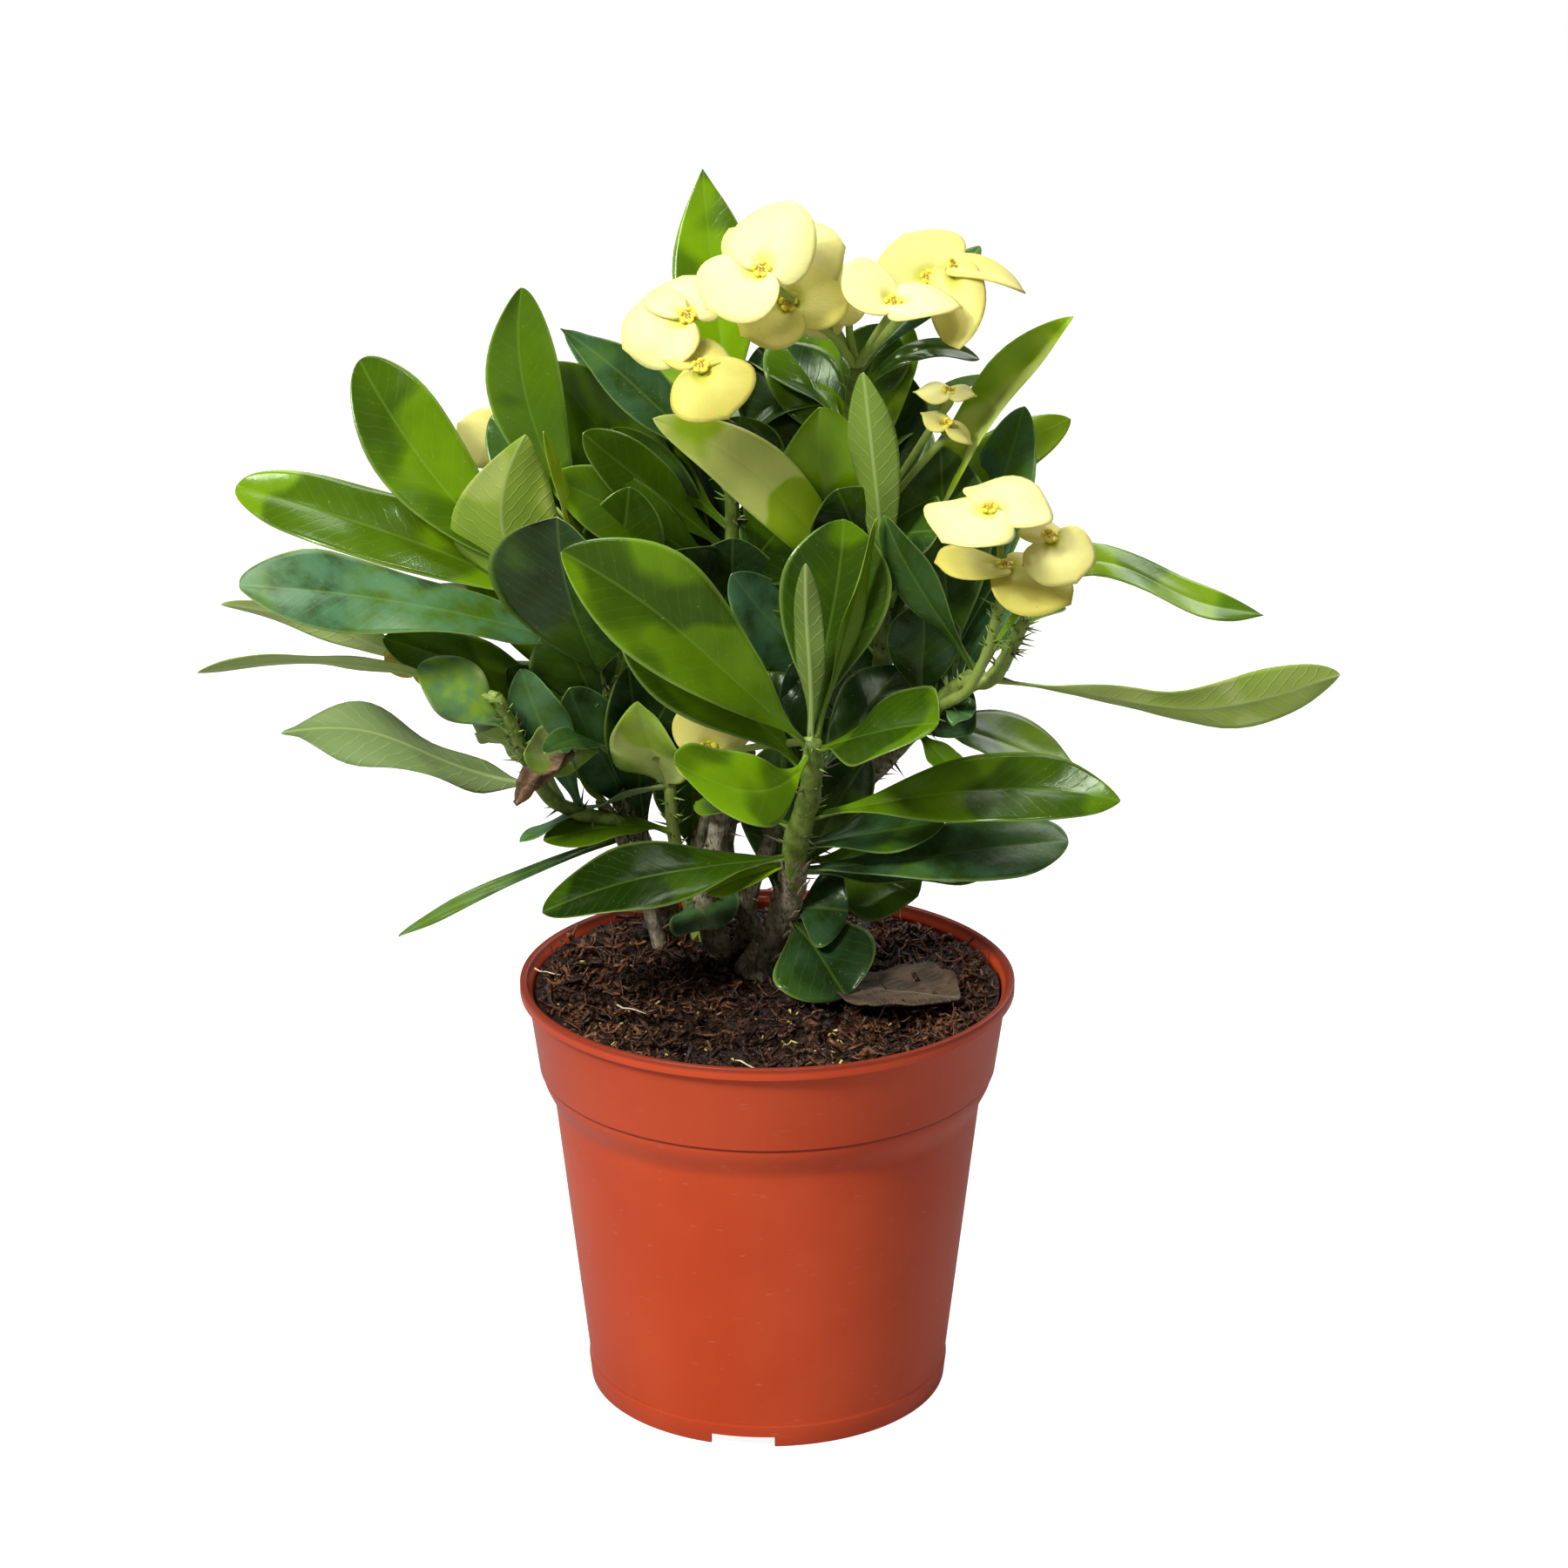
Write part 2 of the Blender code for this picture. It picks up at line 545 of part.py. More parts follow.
def make_dry_leaf(name, collection, material):
    """A dead leaf: a grid rolled about its length, with a thickness."""
    leaf = DRY_LEAVES[name]
    start = on_soil(leaf["foot"]) if leaf["where"] == "soil" else place(leaf["foot"])
    length = Vector(leaf["reach"]) * MM * PLANT_SCALE
    side = length.cross(Vector((0.0, 0.0, 1.0))).normalized()
    up = side.cross(length).normalized()
    curl = radians(leaf["curl"])
    bm = bmesh.new()
    bmesh.ops.create_grid(bm, x_segments=DRY_ROWS, y_segments=DRY_COLUMNS, size=1.0)
    for vertex in bm.verts:
        share = (vertex.co.x + 1) / 2
        wide = leaf["width"] * MM * max(sin(pi * share), 0.0) ** BLUNTNESS
        half = max(PETIOLE_WIDTH, wide) / 2 * PLANT_SCALE
        angle = vertex.co.y * curl
        across = side * (half * sin(angle) / sin(curl))
        lift = up * (half * (1 - cos(angle)) / sin(curl))
        vertex.co = start + length * share + across + lift
    item = add_object(name, finish_mesh(bm, name), material, collection)
    solidify = item.modifiers.new("Thickness", "SOLIDIFY")
    solidify.thickness = LEAF_THICKNESS
    solidify.offset = 1.0
    return item


def main():
    clear_scene()
    parts = new_collection("potted_euphorbia")
    cutters = new_collection("cutters")
    terracotta = principled("Terracotta plastic", (0.56, 0.075, 0.03), 0.42)
    earth = principled("Potting mix", (0.045, 0.022, 0.014), 0.95)
    bark = principled("Bark", (0.16, 0.17, 0.07), 0.75)
    leafGreen = principled("Leaf green", (0.03, 0.13, 0.008), 0.35)
    bract = principled("Cream bract", (0.92, 0.85, 0.36), 0.55)
    dry = principled("Dry leaf", (0.14, 0.085, 0.045), 0.8)
    make_pot(parts, cutters, terracotta)
    make_soil(parts, earth)
    for name in STEMS:
        make_stem(name, parts, bark)
    for name in LEAVES:
        make_leaf(name, parts, leafGreen)
    for name in FLOWERS:
        make_flower(name, parts, bract)
    for name in DRY_LEAVES:
        make_dry_leaf(name, parts, dry)


main()
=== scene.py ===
import math
import random

import bmesh
import bpy
from mathutils import Matrix, Vector, noise


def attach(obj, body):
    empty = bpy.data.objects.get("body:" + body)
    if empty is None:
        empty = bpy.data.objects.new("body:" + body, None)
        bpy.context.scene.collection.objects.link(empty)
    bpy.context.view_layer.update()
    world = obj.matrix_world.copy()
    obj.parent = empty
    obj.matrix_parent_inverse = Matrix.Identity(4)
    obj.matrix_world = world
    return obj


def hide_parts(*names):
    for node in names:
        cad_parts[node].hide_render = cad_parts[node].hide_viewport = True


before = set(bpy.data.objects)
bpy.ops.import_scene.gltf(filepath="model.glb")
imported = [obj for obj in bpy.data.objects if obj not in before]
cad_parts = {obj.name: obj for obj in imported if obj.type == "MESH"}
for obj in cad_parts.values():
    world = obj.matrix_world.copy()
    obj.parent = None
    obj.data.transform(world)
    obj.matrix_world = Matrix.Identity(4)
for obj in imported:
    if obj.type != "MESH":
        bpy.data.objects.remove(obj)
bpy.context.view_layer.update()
mm = 0.001
soilLevel = 0.09885  # the height that the plant's own measurements start from
worldUp = Vector((0.0, 0.0, 1.0))


# Shader nodes

def node(tree, kind, inputs=None, **settings):
    made = tree.nodes.new("ShaderNode" + kind)
    for key, value in settings.items():
        setattr(made, key, value)
    for key, value in (inputs or {}).items():
        if isinstance(value, bpy.types.NodeSocket):
            tree.links.new(value, made.inputs[key])
        else:
            made.inputs[key].default_value = value
    return made


def mixColour(tree, factor, first, second, blend="MIX"):
    return node(tree, "Mix", {0: factor, 6: first, 7: second}, data_type="RGBA", blend_type=blend).outputs[2]


def calc(tree, operation, first, second=0.5, clamp=False):
    return node(tree, "Math", {0: first, 1: second}, operation=operation, use_clamp=clamp).outputs[0]


def times(tree, first, second):
    return calc(tree, "MULTIPLY", first, second)


def plus(tree, first, second):
    return calc(tree, "ADD", first, second)


def minus(tree, first, second):
    return calc(tree, "SUBTRACT", first, second)


def ease(tree, value, low, high, outLow=0.0, outHigh=1.0):
    settings = {"Value": value, "From Min": low, "From Max": high, "To Min": outLow, "To Max": outHigh}
    return node(tree, "MapRange", settings, interpolation_type="SMOOTHSTEP").outputs["Result"]


def cloud(tree, vector, scale, detail):
    return node(tree, "TexNoise", {"Vector": vector, "Scale": scale, "Detail": detail}).outputs["Fac"]


def attribute(tree, name):
    return node(tree, "Attribute", attribute_name=name).outputs["Vector"]


def split(tree, vector):
    return node(tree, "SeparateXYZ", {0: vector})


def layOver(tree, colour, mask, strength, above):
    # a second colour over the first, where the mask lets it through
    return mixColour(tree, times(tree, mask, strength), colour, above)


def rgb(red, green, blue):
    return (red, green, blue, 1.0)


def newGroup(name, inputs, outputs):
    group = bpy.data.node_groups.new(name, "ShaderNodeTree")
    for label, kind in inputs:
        group.interface.new_socket(label, in_out="INPUT", socket_type="NodeSocket" + kind)
    for label, kind in outputs:
        group.interface.new_socket(label, in_out="OUTPUT", socket_type="NodeSocket" + kind)
    return group, group.nodes.new("NodeGroupInput"), group.nodes.new("NodeGroupOutput")


def makeBlotchGroup():
    # cloudy patches between two noise levels
    group, given, result = newGroup(
        "blotches",
        [("Vector", "Vector"), ("Scale", "Float"), ("Detail", "Float"), ("Low", "Float"), ("High", "Float")],
        [("Mask", "Float")],
    )
    cloud = node(group, "TexNoise", {
        "Vector": given.outputs["Vector"], "Scale": given.outputs["Scale"], "Detail": given.outputs["Detail"],
    })
    mask = ease(group, cloud.outputs["Fac"], given.outputs["Low"], given.outputs["High"])
    group.links.new(mask, result.inputs["Mask"])
    return group


def makeVeinGroup():
    # a leaf's midrib, its side veins and its margin, from how far along and across the blade a point is in mm
    group, given, result = newGroup(
        "leaf_veins", [("Blade", "Vector"), ("Spacing", "Float")],
        [("Midrib", "Float"), ("Veins", "Float"), ("Margin", "Float")],
    )
    parts = node(group, "SeparateXYZ", {0: given.outputs["Blade"]})
    away = calc(group, "ABSOLUTE", parts.outputs["Y"])
    wander = node(group, "TexNoise", {"Vector": given.outputs["Blade"], "Scale": 0.35, "Detail": 3.0})
    shift = times(group, wander.outputs["Fac"], 2.4)
    phase = plus(group, minus(group, parts.outputs["X"], away), shift)
    stripe = calc(group, "PINGPONG", phase, given.outputs["Spacing"])
    veins = times(group, ease(group, stripe, 0.0, 0.45, 1.0, 0.0), ease(group, away, 0.3, 1.2))
    group.links.new(ease(group, away, 0.12, 0.55, 1.0, 0.0), result.inputs["Midrib"])
    group.links.new(veins, result.inputs["Veins"])
    group.links.new(ease(group, parts.outputs["Z"], 0.9, 1.0), result.inputs["Margin"])
    return group


veinSpacing = 1.9  # mm between a leaf's side veins, along the blade
dryVeinSpacing = 1.6
blotchGroup = makeBlotchGroup()
veinGroup = makeVeinGroup()


def blotches(tree, vector, scale, detail=4.0, low=0.4, high=0.6):
    used = node(tree, "Group", node_tree=blotchGroup)
    for key, value in (("Scale", scale), ("Detail", detail), ("Low", low), ("High", high)):
        used.inputs[key].default_value = value
    tree.links.new(vector, used.inputs["Vector"])
    return used.outputs["Mask"]


def veinLines(tree, spacing):
    lines = node(tree, "Group", node_tree=veinGroup)
    lines.inputs["Spacing"].default_value = spacing
    tree.links.new(attribute(tree, "blade"), lines.inputs["Blade"])
    return lines


def newMaterial(name, **fixed):
    material = bpy.data.materials.new(name)
    material.use_nodes = True
    tree = material.node_tree
    shader = tree.nodes["Principled BSDF"]
    for label, value in fixed.items():
        shader.inputs[label.replace("_", " ")].default_value = value
    place = node(tree, "TexCoord").outputs["Object"]
    return material, tree, shader, place


def setBump(tree, shader, height, strength, distance):
    bump = node(tree, "Bump", {"Height": height, "Strength": strength, "Distance": distance})
    tree.links.new(bump.outputs["Normal"], shader.inputs["Normal"])


# Plastic, soil and plant materials

def makePotPlastic():
    values = {"colour": rgb(0.57, 0.060, 0.014), "paler": rgb(0.63, 0.078, 0.022), "roughness": 0.38}
    material, tree, shader, place = newMaterial("pot_plastic", IOR=1.45, Specular_IOR_Level=0.28)
    colour = mixColour(tree, blotches(tree, place, 22.0, 3.0, 0.35, 0.7), values["colour"], values["paler"])
    # fine pale scuffs, longest round the pot
    stretched = node(tree, "Mapping", {"Vector": place, "Scale": (1.0, 1.0, 5.0)}).outputs["Vector"]
    scuffs = blotches(tree, stretched, 260.0, 5.0, 0.66, 0.74)
    colour = layOver(tree, colour, scuffs, 0.22, rgb(0.78, 0.30, 0.20))
    # soil dust on the inner wall, just above the mix
    parts = split(tree, place)
    flat = node(tree, "CombineXYZ", {"X": parts.outputs["X"], "Y": parts.outputs["Y"]}).outputs[0]
    radius = node(tree, "VectorMath", {0: flat}, operation="LENGTH").outputs["Value"]
    height = parts.outputs["Z"]
    inside = times(tree, ease(tree, radius, 0.0569, 0.0571, 1.0, 0.0), ease(tree, height, 0.0955, 0.0965))
    low = ease(tree, height, 0.0985, 0.1025, 1.0, 0.0)
    grime = times(tree, times(tree, inside, low), blotches(tree, place, 420.0, 5.0, 0.3, 0.6))
    colour = layOver(tree, colour, grime, 0.85, rgb(0.05, 0.022, 0.012))
    # painted shade: the wall inside is darkened as in shadow, and the top of the lip is darker too
    colour = layOver(tree, colour, inside, 0.60, rgb(0.16, 0.020, 0.008))
    top = times(tree, ease(tree, height, 0.1034, 0.1044), ease(tree, radius, 0.0608, 0.0598))
    colour = layOver(tree, colour, top, 0.70, rgb(0.13, 0.020, 0.010))
    # painted shade: a dark line in the crease where the band ends, and another in the groove above the foot
    for level, depth in ((0.0822, 0.6), (0.0060, 0.25)):
        away = calc(tree, "ABSOLUTE", minus(tree, height, level))
        line = ease(tree, away, 0.0001, 0.0005, depth, 0.0)
        colour = mixColour(tree, line, colour, rgb(0.11, 0.012, 0.006))
    tree.links.new(colour, shader.inputs["Base Color"])
    rough = cloud(tree, place, 90.0, 6.0)
    rough = plus(tree, times(tree, rough, 0.16), values["roughness"] - 0.08)
    tree.links.new(plus(tree, rough, times(tree, grime, 0.4)), shader.inputs["Roughness"])
    grain = cloud(tree, place, 1500.0, 3.0)
    setBump(tree, shader, grain, 0.08, 0.0002)
    return material


def makePottingMix(name, dark, brown, red, roughness=0.9):
    material, tree, shader, place = newMaterial(name, Specular_IOR_Level=0.3)
    colour = mixColour(tree, blotches(tree, place, 520.0, 5.0, 0.36, 0.66), dark, brown)
    colour = mixColour(tree, blotches(tree, place, 900.0, 3.0, 0.55, 0.7), colour, red)
    # the middle and the front are still wet
    parts = split(tree, place)
    wander = cloud(tree, place, 60.0, 3.0)
    back = plus(tree, parts.outputs["Y"], 0.012)
    moved = node(tree, "CombineXYZ", {"X": parts.outputs["X"], "Y": back})
    reach = node(tree, "VectorMath", {0: moved.outputs[0]}, operation="LENGTH").outputs["Value"]
    reach = plus(tree, reach, times(tree, wander, 0.03))
    wet = ease(tree, reach, 0.104, 0.128, 1.0, 0.0)
    darker = mixColour(tree, 1.0, colour, rgb(0.42, 0.37, 0.34), "MULTIPLY")
    tree.links.new(mixColour(tree, wet, colour, darker), shader.inputs["Base Color"])
    tree.links.new(ease(tree, wet, 0.0, 1.0, roughness, roughness - 0.4), shader.inputs["Roughness"])
    lumps = cloud(tree, place, 1400.0, 6.0)
    setBump(tree, shader, lumps, 0.8, 0.0006)
    return material


def makeStraw():
    material, tree, shader, place = newMaterial("straw", Roughness=0.55)
    streaks = cloud(tree, place, 700.0, 4.0)
    colour = mixColour(tree, streaks, rgb(0.80, 0.62, 0.36), rgb(0.95, 0.88, 0.70))
    tree.links.new(colour, shader.inputs["Base Color"])
    setBump(tree, shader, streaks, 0.3, 0.0002)
    return material


def makeStemSkin():
    # attribute "bark": x is 1 on old bark and 0 on young green skin, y is the way along in mm,
    # z is how pale the green is, up to 1 on a stalk
    values = {
        "green": rgb(0.095, 0.150, 0.018), "paleGreen": rgb(0.20, 0.28, 0.045),
        "bark": rgb(0.170, 0.145, 0.075), "greyBark": rgb(0.38, 0.34, 0.23),
        "cracks": rgb(0.045, 0.030, 0.016), "stalk": rgb(0.30, 0.40, 0.075),
    }
    material, tree, shader, place = newMaterial("stem_skin", Specular_IOR_Level=0.35)
    parts = split(tree, attribute(tree, "bark"))
    patches = blotches(tree, place, 230.0, 4.0, 0.3, 0.7)
    age = plus(tree, parts.outputs["X"], times(tree, minus(tree, patches, 0.5), 0.7))
    age = ease(tree, age, 0.35, 0.65)
    paler = blotches(tree, place, 330.0, 5.0, 0.35, 0.7)
    green = mixColour(tree, paler, values["green"], values["paleGreen"])
    green = mixColour(tree, parts.outputs["Z"], green, values["stalk"])
    bark = mixColour(tree, blotches(tree, place, 420.0, 6.0, 0.38, 0.66), values["bark"], values["greyBark"])
    lengthways = node(tree, "Mapping", {"Vector": place, "Scale": (3.0, 3.0, 0.7)}).outputs["Vector"]
    cracks = blotches(tree, lengthways, 520.0, 5.0, 0.56, 0.64)
    bark = layOver(tree, bark, cracks, 0.75, values["cracks"])
    colour = mixColour(tree, age, green, bark)
    specks = blotches(tree, place, 1500.0, 2.0, 0.62, 0.7)
    colour = layOver(tree, colour, specks, 0.35, rgb(0.42, 0.42, 0.26))
    tree.links.new(colour, shader.inputs["Base Color"])
    tree.links.new(ease(tree, age, 0.0, 1.0, 0.46, 0.85), shader.inputs["Roughness"])
    relief = cloud(tree, lengthways, 620.0, 6.0)
    height = minus(tree, relief, times(tree, cracks, 0.5))
    setBump(tree, shader, times(tree, height, ease(tree, age, 0.0, 1.0, 0.3, 1.0)), 0.6, 0.0006)
    return material


def makeThornSkin(name, foot, tip):
    material, tree, shader, place = newMaterial(name, Roughness=0.5)
    patches = blotches(tree, place, 900.0, 3.0, 0.4, 0.65)
    tree.links.new(mixColour(tree, patches, foot, tip), shader.inputs["Base Color"])
    grain = cloud(tree, place, 2500.0, 3.0)
    setBump(tree, shader, grain, 0.3, 0.0002)
    return material


def leafColours(tree, place, tone):
    # tone: x from dark to pale, partly painted shade and light, y is yellowness, z is blue-grey bloom
    steps = (
        (0.0, rgb(0.012, 0.030, 0.002)), (0.2, rgb(0.028, 0.066, 0.002)), (0.45, rgb(0.080, 0.165, 0.002)),
        (0.65, rgb(0.160, 0.310, 0.003)), (0.85, rgb(0.320, 0.490, 0.020)), (1.0, rgb(0.52, 0.62, 0.16)),
    )
    clouds = cloud(tree, place, 75.0, 3.0)
    light = plus(tree, tone.outputs["X"], times(tree, minus(tree, clouds, 0.5), 0.24))
    # painted light and shade: broad bright patches as of sun coming through the blade, and dark patches as of
    # shadow
    lit = blotches(tree, place, 36.0, 1.5, 0.47, 0.54)
    light = plus(tree, light, times(tree, minus(tree, lit, 0.50), 0.25))
    ramp = node(tree, "ValToRGB", {"Fac": light})
    for index, (position, colour) in enumerate(steps):
        if 0 < index < len(steps) - 1:
            ramp.color_ramp.elements.new(position)
        ramp.color_ramp.elements[index].position = position
        ramp.color_ramp.elements[index].color = colour
    yellow = mixColour(tree, 1.0, ramp.outputs["Color"], rgb(1.30, 1.05, 0.60), "MULTIPLY")
    return mixColour(tree, times(tree, tone.outputs["Y"], 0.7), ramp.outputs["Color"], yellow)


def makeLeafTop():
    values = {
        "vein": rgb(0.26, 0.42, 0.06), "bloom": rgb(0.085, 0.215, 0.105), "margin": rgb(0.34, 0.50, 0.10),
    }
    material, tree, shader, place = newMaterial("leaf_top", Specular_IOR_Level=0.34, IOR=1.45,
                                                Specular_Tint=rgb(0.85, 1.0, 0.72))
    tone = split(tree, attribute(tree, "tone"))
    lines = veinLines(tree, veinSpacing)
    colour = leafColours(tree, place, tone)
    bloom = times(tree, tone.outputs["Z"], blotches(tree, place, 160.0, 4.0, 0.25, 0.65))
    colour = layOver(tree, colour, bloom, 0.85, values["bloom"])
    colour = layOver(tree, colour, lines.outputs["Veins"], 0.045, values["vein"])
    colour = layOver(tree, colour, lines.outputs["Midrib"], 0.16, values["vein"])
    colour = layOver(tree, colour, lines.outputs["Margin"], 0.40, values["margin"])
    specks = blotches(tree, place, 1300.0, 2.0, 0.70, 0.76)
    colour = layOver(tree, colour, specks, 0.18, rgb(0.5, 0.55, 0.35))
    tree.links.new(colour, shader.inputs["Base Color"])
    smear = cloud(tree, place, 210.0, 5.0)
    rough = plus(tree, times(tree, smear, 0.22), times(tree, tone.outputs["Z"], 0.16))
    tree.links.new(plus(tree, rough, 0.08), shader.inputs["Roughness"])
    pores = cloud(tree, place, 900.0, 4.0)
    height = minus(tree, times(tree, pores, 0.35), times(tree, lines.outputs["Veins"], 0.12))
    setBump(tree, shader, height, 0.22, 0.0004)
    return material


def makeLeafUnder():
    values = {"pale": rgb(0.30, 0.42, 0.085), "bloom": rgb(0.22, 0.30, 0.135), "vein": rgb(0.46, 0.57, 0.20)}
    material, tree, shader, place = newMaterial("leaf_underside", Specular_IOR_Level=0.35)
    tone = split(tree, attribute(tree, "tone"))
    lines = veinLines(tree, veinSpacing)
    colour = mixColour(tree, 0.42, leafColours(tree, place, tone), values["pale"])
    bloom = times(tree, tone.outputs["Z"], 0.62)
    colour = mixColour(tree, bloom, colour, values["bloom"])
    colour = layOver(tree, colour, lines.outputs["Veins"], 0.22, values["vein"])
    colour = layOver(tree, colour, lines.outputs["Midrib"], 0.55, values["vein"])
    tree.links.new(colour, shader.inputs["Base Color"])
    smear = cloud(tree, place, 300.0, 4.0)
    tree.links.new(plus(tree, times(tree, smear, 0.2), 0.42), shader.inputs["Roughness"])
    height = plus(tree, times(tree, smear, 0.3), lines.outputs["Veins"])
    setBump(tree, shader, height, 0.3, 0.0003)
    return material


def makeBractSkin(name, middle, body, edge, roughness):
    # attribute "petal": x is the way out from the centre, y is the turn round it,
    # z is painted shade, how far the head's colour is darkened and deepened as in shadow
    material, tree, shader, place = newMaterial(name, Specular_IOR_Level=0.3, Subsurface_Weight=0.12,
                                                Subsurface_Scale=0.002)
    petal = attribute(tree, "petal")
    parts = split(tree, petal)
    colour = mixColour(tree, ease(tree, parts.outputs["X"], 0.10, 0.34), middle, body)
    colour = mixColour(tree, ease(tree, parts.outputs["X"], 0.55, 1.0), colour, edge)
    shadedColour = mixColour(tree, 1.0, colour, rgb(0.74, 0.71, 0.34), "MULTIPLY")
    colour = mixColour(tree, parts.outputs["Z"], colour, shadedColour)
    fan = node(tree, "TexNoise", {
        "Vector": node(tree, "Mapping", {"Vector": petal, "Scale": (1.6, 16.0, 1.0)}).outputs["Vector"],
        "Scale": 2.2, "Detail": 4.0,
    }).outputs["Fac"]
    lines = ease(tree, fan, 0.42, 0.62, 0.0, 0.16)
    colour = mixColour(tree, lines, colour, rgb(0.80, 0.66, 0.20))
    freckles = blotches(tree, place, 420.0, 2.0, 0.745, 0.77)
    colour = layOver(tree, colour, freckles, 0.5, rgb(0.45, 0.25, 0.06))
    tree.links.new(colour, shader.inputs["Base Color"])
    shader.inputs["Roughness"].default_value = roughness
    skin = cloud(tree, place, 700.0, 3.0)
    setBump(tree, shader, plus(tree, skin, times(tree, fan, 0.8)), 0.25, 0.0004)
    return material


def makeWaxy(name, light, dark, scale, roughness):
    # cups, glands and stamens
    material, tree, shader, place = newMaterial(name, Roughness=roughness)
    colour = mixColour(tree, blotches(tree, place, scale, 3.0, 0.35, 0.65), light, dark)
    tree.links.new(colour, shader.inputs["Base Color"])
    skin = cloud(tree, place, scale * 2, 3.0)
    setBump(tree, shader, skin, 0.3, 0.0002)
    return material


def makeDryLeafSkin(name, light, dark, veins):
    material, tree, shader, place = newMaterial(name, Roughness=0.72)
    lines = veinLines(tree, dryVeinSpacing)
    colour = mixColour(tree, blotches(tree, place, 190.0, 6.0, 0.36, 0.64), light, dark)
    colour = layOver(tree, colour, lines.outputs["Veins"], 0.35, veins)
    colour = layOver(tree, colour, lines.outputs["Midrib"], 0.7, veins)
    tree.links.new(colour, shader.inputs["Base Color"])
    crackle = cloud(tree, place, 650.0, 6.0)
    setBump(tree, shader, plus(tree, crackle, lines.outputs["Veins"]), 0.6, 0.0005)
    return material


potPlastic = makePotPlastic()
mixBed = makePottingMix(
    "potting_mix", rgb(0.012, 0.007, 0.005), rgb(0.060, 0.028, 0.015), rgb(0.17, 0.070, 0.030),
)
mixFibre = makePottingMix(
    "mix_fibre", rgb(0.030, 0.016, 0.009), rgb(0.110, 0.050, 0.026), rgb(0.27, 0.12, 0.050), 0.75,
)
redFibre = makePottingMix(
    "red_fibre", rgb(0.22, 0.088, 0.040), rgb(0.50, 0.23, 0.10), rgb(0.72, 0.44, 0.22), 0.7,
)
straw = makeStraw()
crumbSkin = makeThornSkin("yellow_crumb", rgb(0.50, 0.40, 0.05), rgb(0.78, 0.68, 0.26))
stemSkin = makeStemSkin()
thornSkin = makeThornSkin("thorn", rgb(0.12, 0.085, 0.05), rgb(0.20, 0.17, 0.11))
bristleSkin = makeThornSkin("green_bristle", rgb(0.20, 0.34, 0.05), rgb(0.36, 0.50, 0.12))
flakeSkin = makeThornSkin("bark_flake", rgb(0.24, 0.17, 0.10), rgb(0.42, 0.34, 0.23))
leafTop = makeLeafTop()
leafUnder = makeLeafUnder()
bractTop = makeBractSkin(
    "bract_top", rgb(0.78, 0.82, 0.16), rgb(0.92, 0.88, 0.37), rgb(0.90, 0.84, 0.30), 0.5,
)
bractUnder = makeBractSkin(
    "bract_underside", rgb(0.62, 0.68, 0.09), rgb(0.88, 0.81, 0.22), rgb(0.90, 0.84, 0.28), 0.55,
)
cupSkin = makeWaxy("cup", rgb(0.86, 0.80, 0.12), rgb(0.72, 0.62, 0.06), 900.0, 0.4)
glandSkin = makeWaxy("gland", rgb(0.95, 0.80, 0.05), rgb(0.86, 0.62, 0.03), 1400.0, 0.3)
stamenSkin = makeWaxy("stamen", rgb(0.30, 0.14, 0.03), rgb(0.70, 0.48, 0.08), 2000.0, 0.5)
fallenSkin = makeDryLeafSkin(
    "fallen_leaf", rgb(0.115, 0.073, 0.036), rgb(0.045, 0.027, 0.014), rgb(0.24, 0.17, 0.09),
)
driedSkin = makeDryLeafSkin(
    "dried_leaf", rgb(0.26, 0.15, 0.07), rgb(0.07, 0.035, 0.016), rgb(0.34, 0.21, 0.10),
)
print("materials made")


# Making pieces

def meshOf(name, bm):
    mesh = bpy.data.meshes.new(name)
    bm.to_mesh(mesh)
    bm.free()
    return mesh


def newObject(name, data):
    made = bpy.data.objects.new(name, data)
    bpy.context.scene.collection.objects.link(made)
    return made


def ownNode(name):
    # the CAD piece of the same name, where there is one
    return [name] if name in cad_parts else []


def addPiece(name, bm, materials, nodes=()):
    mesh = meshOf(name, bm)
    mesh.shade_smooth()
    for material in materials:
        mesh.materials.append(material)
    piece = newObject(name, mesh)
    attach(piece, "root")
    if nodes:
        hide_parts(*nodes)
    return piece


def bakeModifiers(piece):
    evaluated = piece.evaluated_get(bpy.context.evaluated_depsgraph_get())
    finished = bpy.data.meshes.new_from_object(evaluated)
    piece.modifiers.clear()
    piece.data = finished


def thicken(piece, thickness, group=None, other=0):
    # equal on both sides, with another material on the back and the rim
    solid = piece.modifiers.new("thickness", "SOLIDIFY")
    solid.thickness = thickness
    solid.offset = 0.0
    solid.material_offset = other
    solid.material_offset_rim = other
    if group:
        solid.vertex_group = group


def spinProfile(profile, segments):
    # a profile of (radius, height) in mm, turned once round the pot's axis
    bm = bmesh.new()
    line = [bm.verts.new((radius * mm, 0.0, height * mm)) for radius, height in profile]
    edges = [bm.edges.new(pair) for pair in zip(line, line[1:])]
    bmesh.ops.spin(bm, geom=line + edges, cent=(0, 0, 0), axis=(0, 0, 1), angle=math.tau, steps=segments,
                   use_merge=True)
    bmesh.ops.remove_doubles(bm, verts=bm.verts, dist=1e-6)
    bmesh.ops.recalc_face_normals(bm, faces=bm.faces)
    return bm


def smoothRoute(points, stepsEach):
    # a curve through every point
    ends = [points[0] * 2 - points[1]] + points + [points[-1] * 2 - points[-2]]
    route = []
    for before, start, end, after in zip(ends, ends[1:], ends[2:], ends[3:]):
        for step in range(stepsEach):
            t = step / stepsEach
            bend = (2 * before - 5 * start + 4 * end - after) * t * t
            twist = (3 * (start - end) - before + after) * t**3
            route.append((2 * start + (end - before) * t + bend + twist) / 2)
    route.append(points[-1])
    return route


def framesAlong(route):
    across = (route[1] - route[0]).orthogonal()
    last = len(route) - 1
    frames = []
    for index, point in enumerate(route):
        ahead = (route[min(index + 1, last)] - route[max(index - 1, 0)]).normalized()
        across = (across - ahead * across.dot(ahead)).normalized()
        frames.append((point, ahead, across, ahead.cross(across)))
    return frames


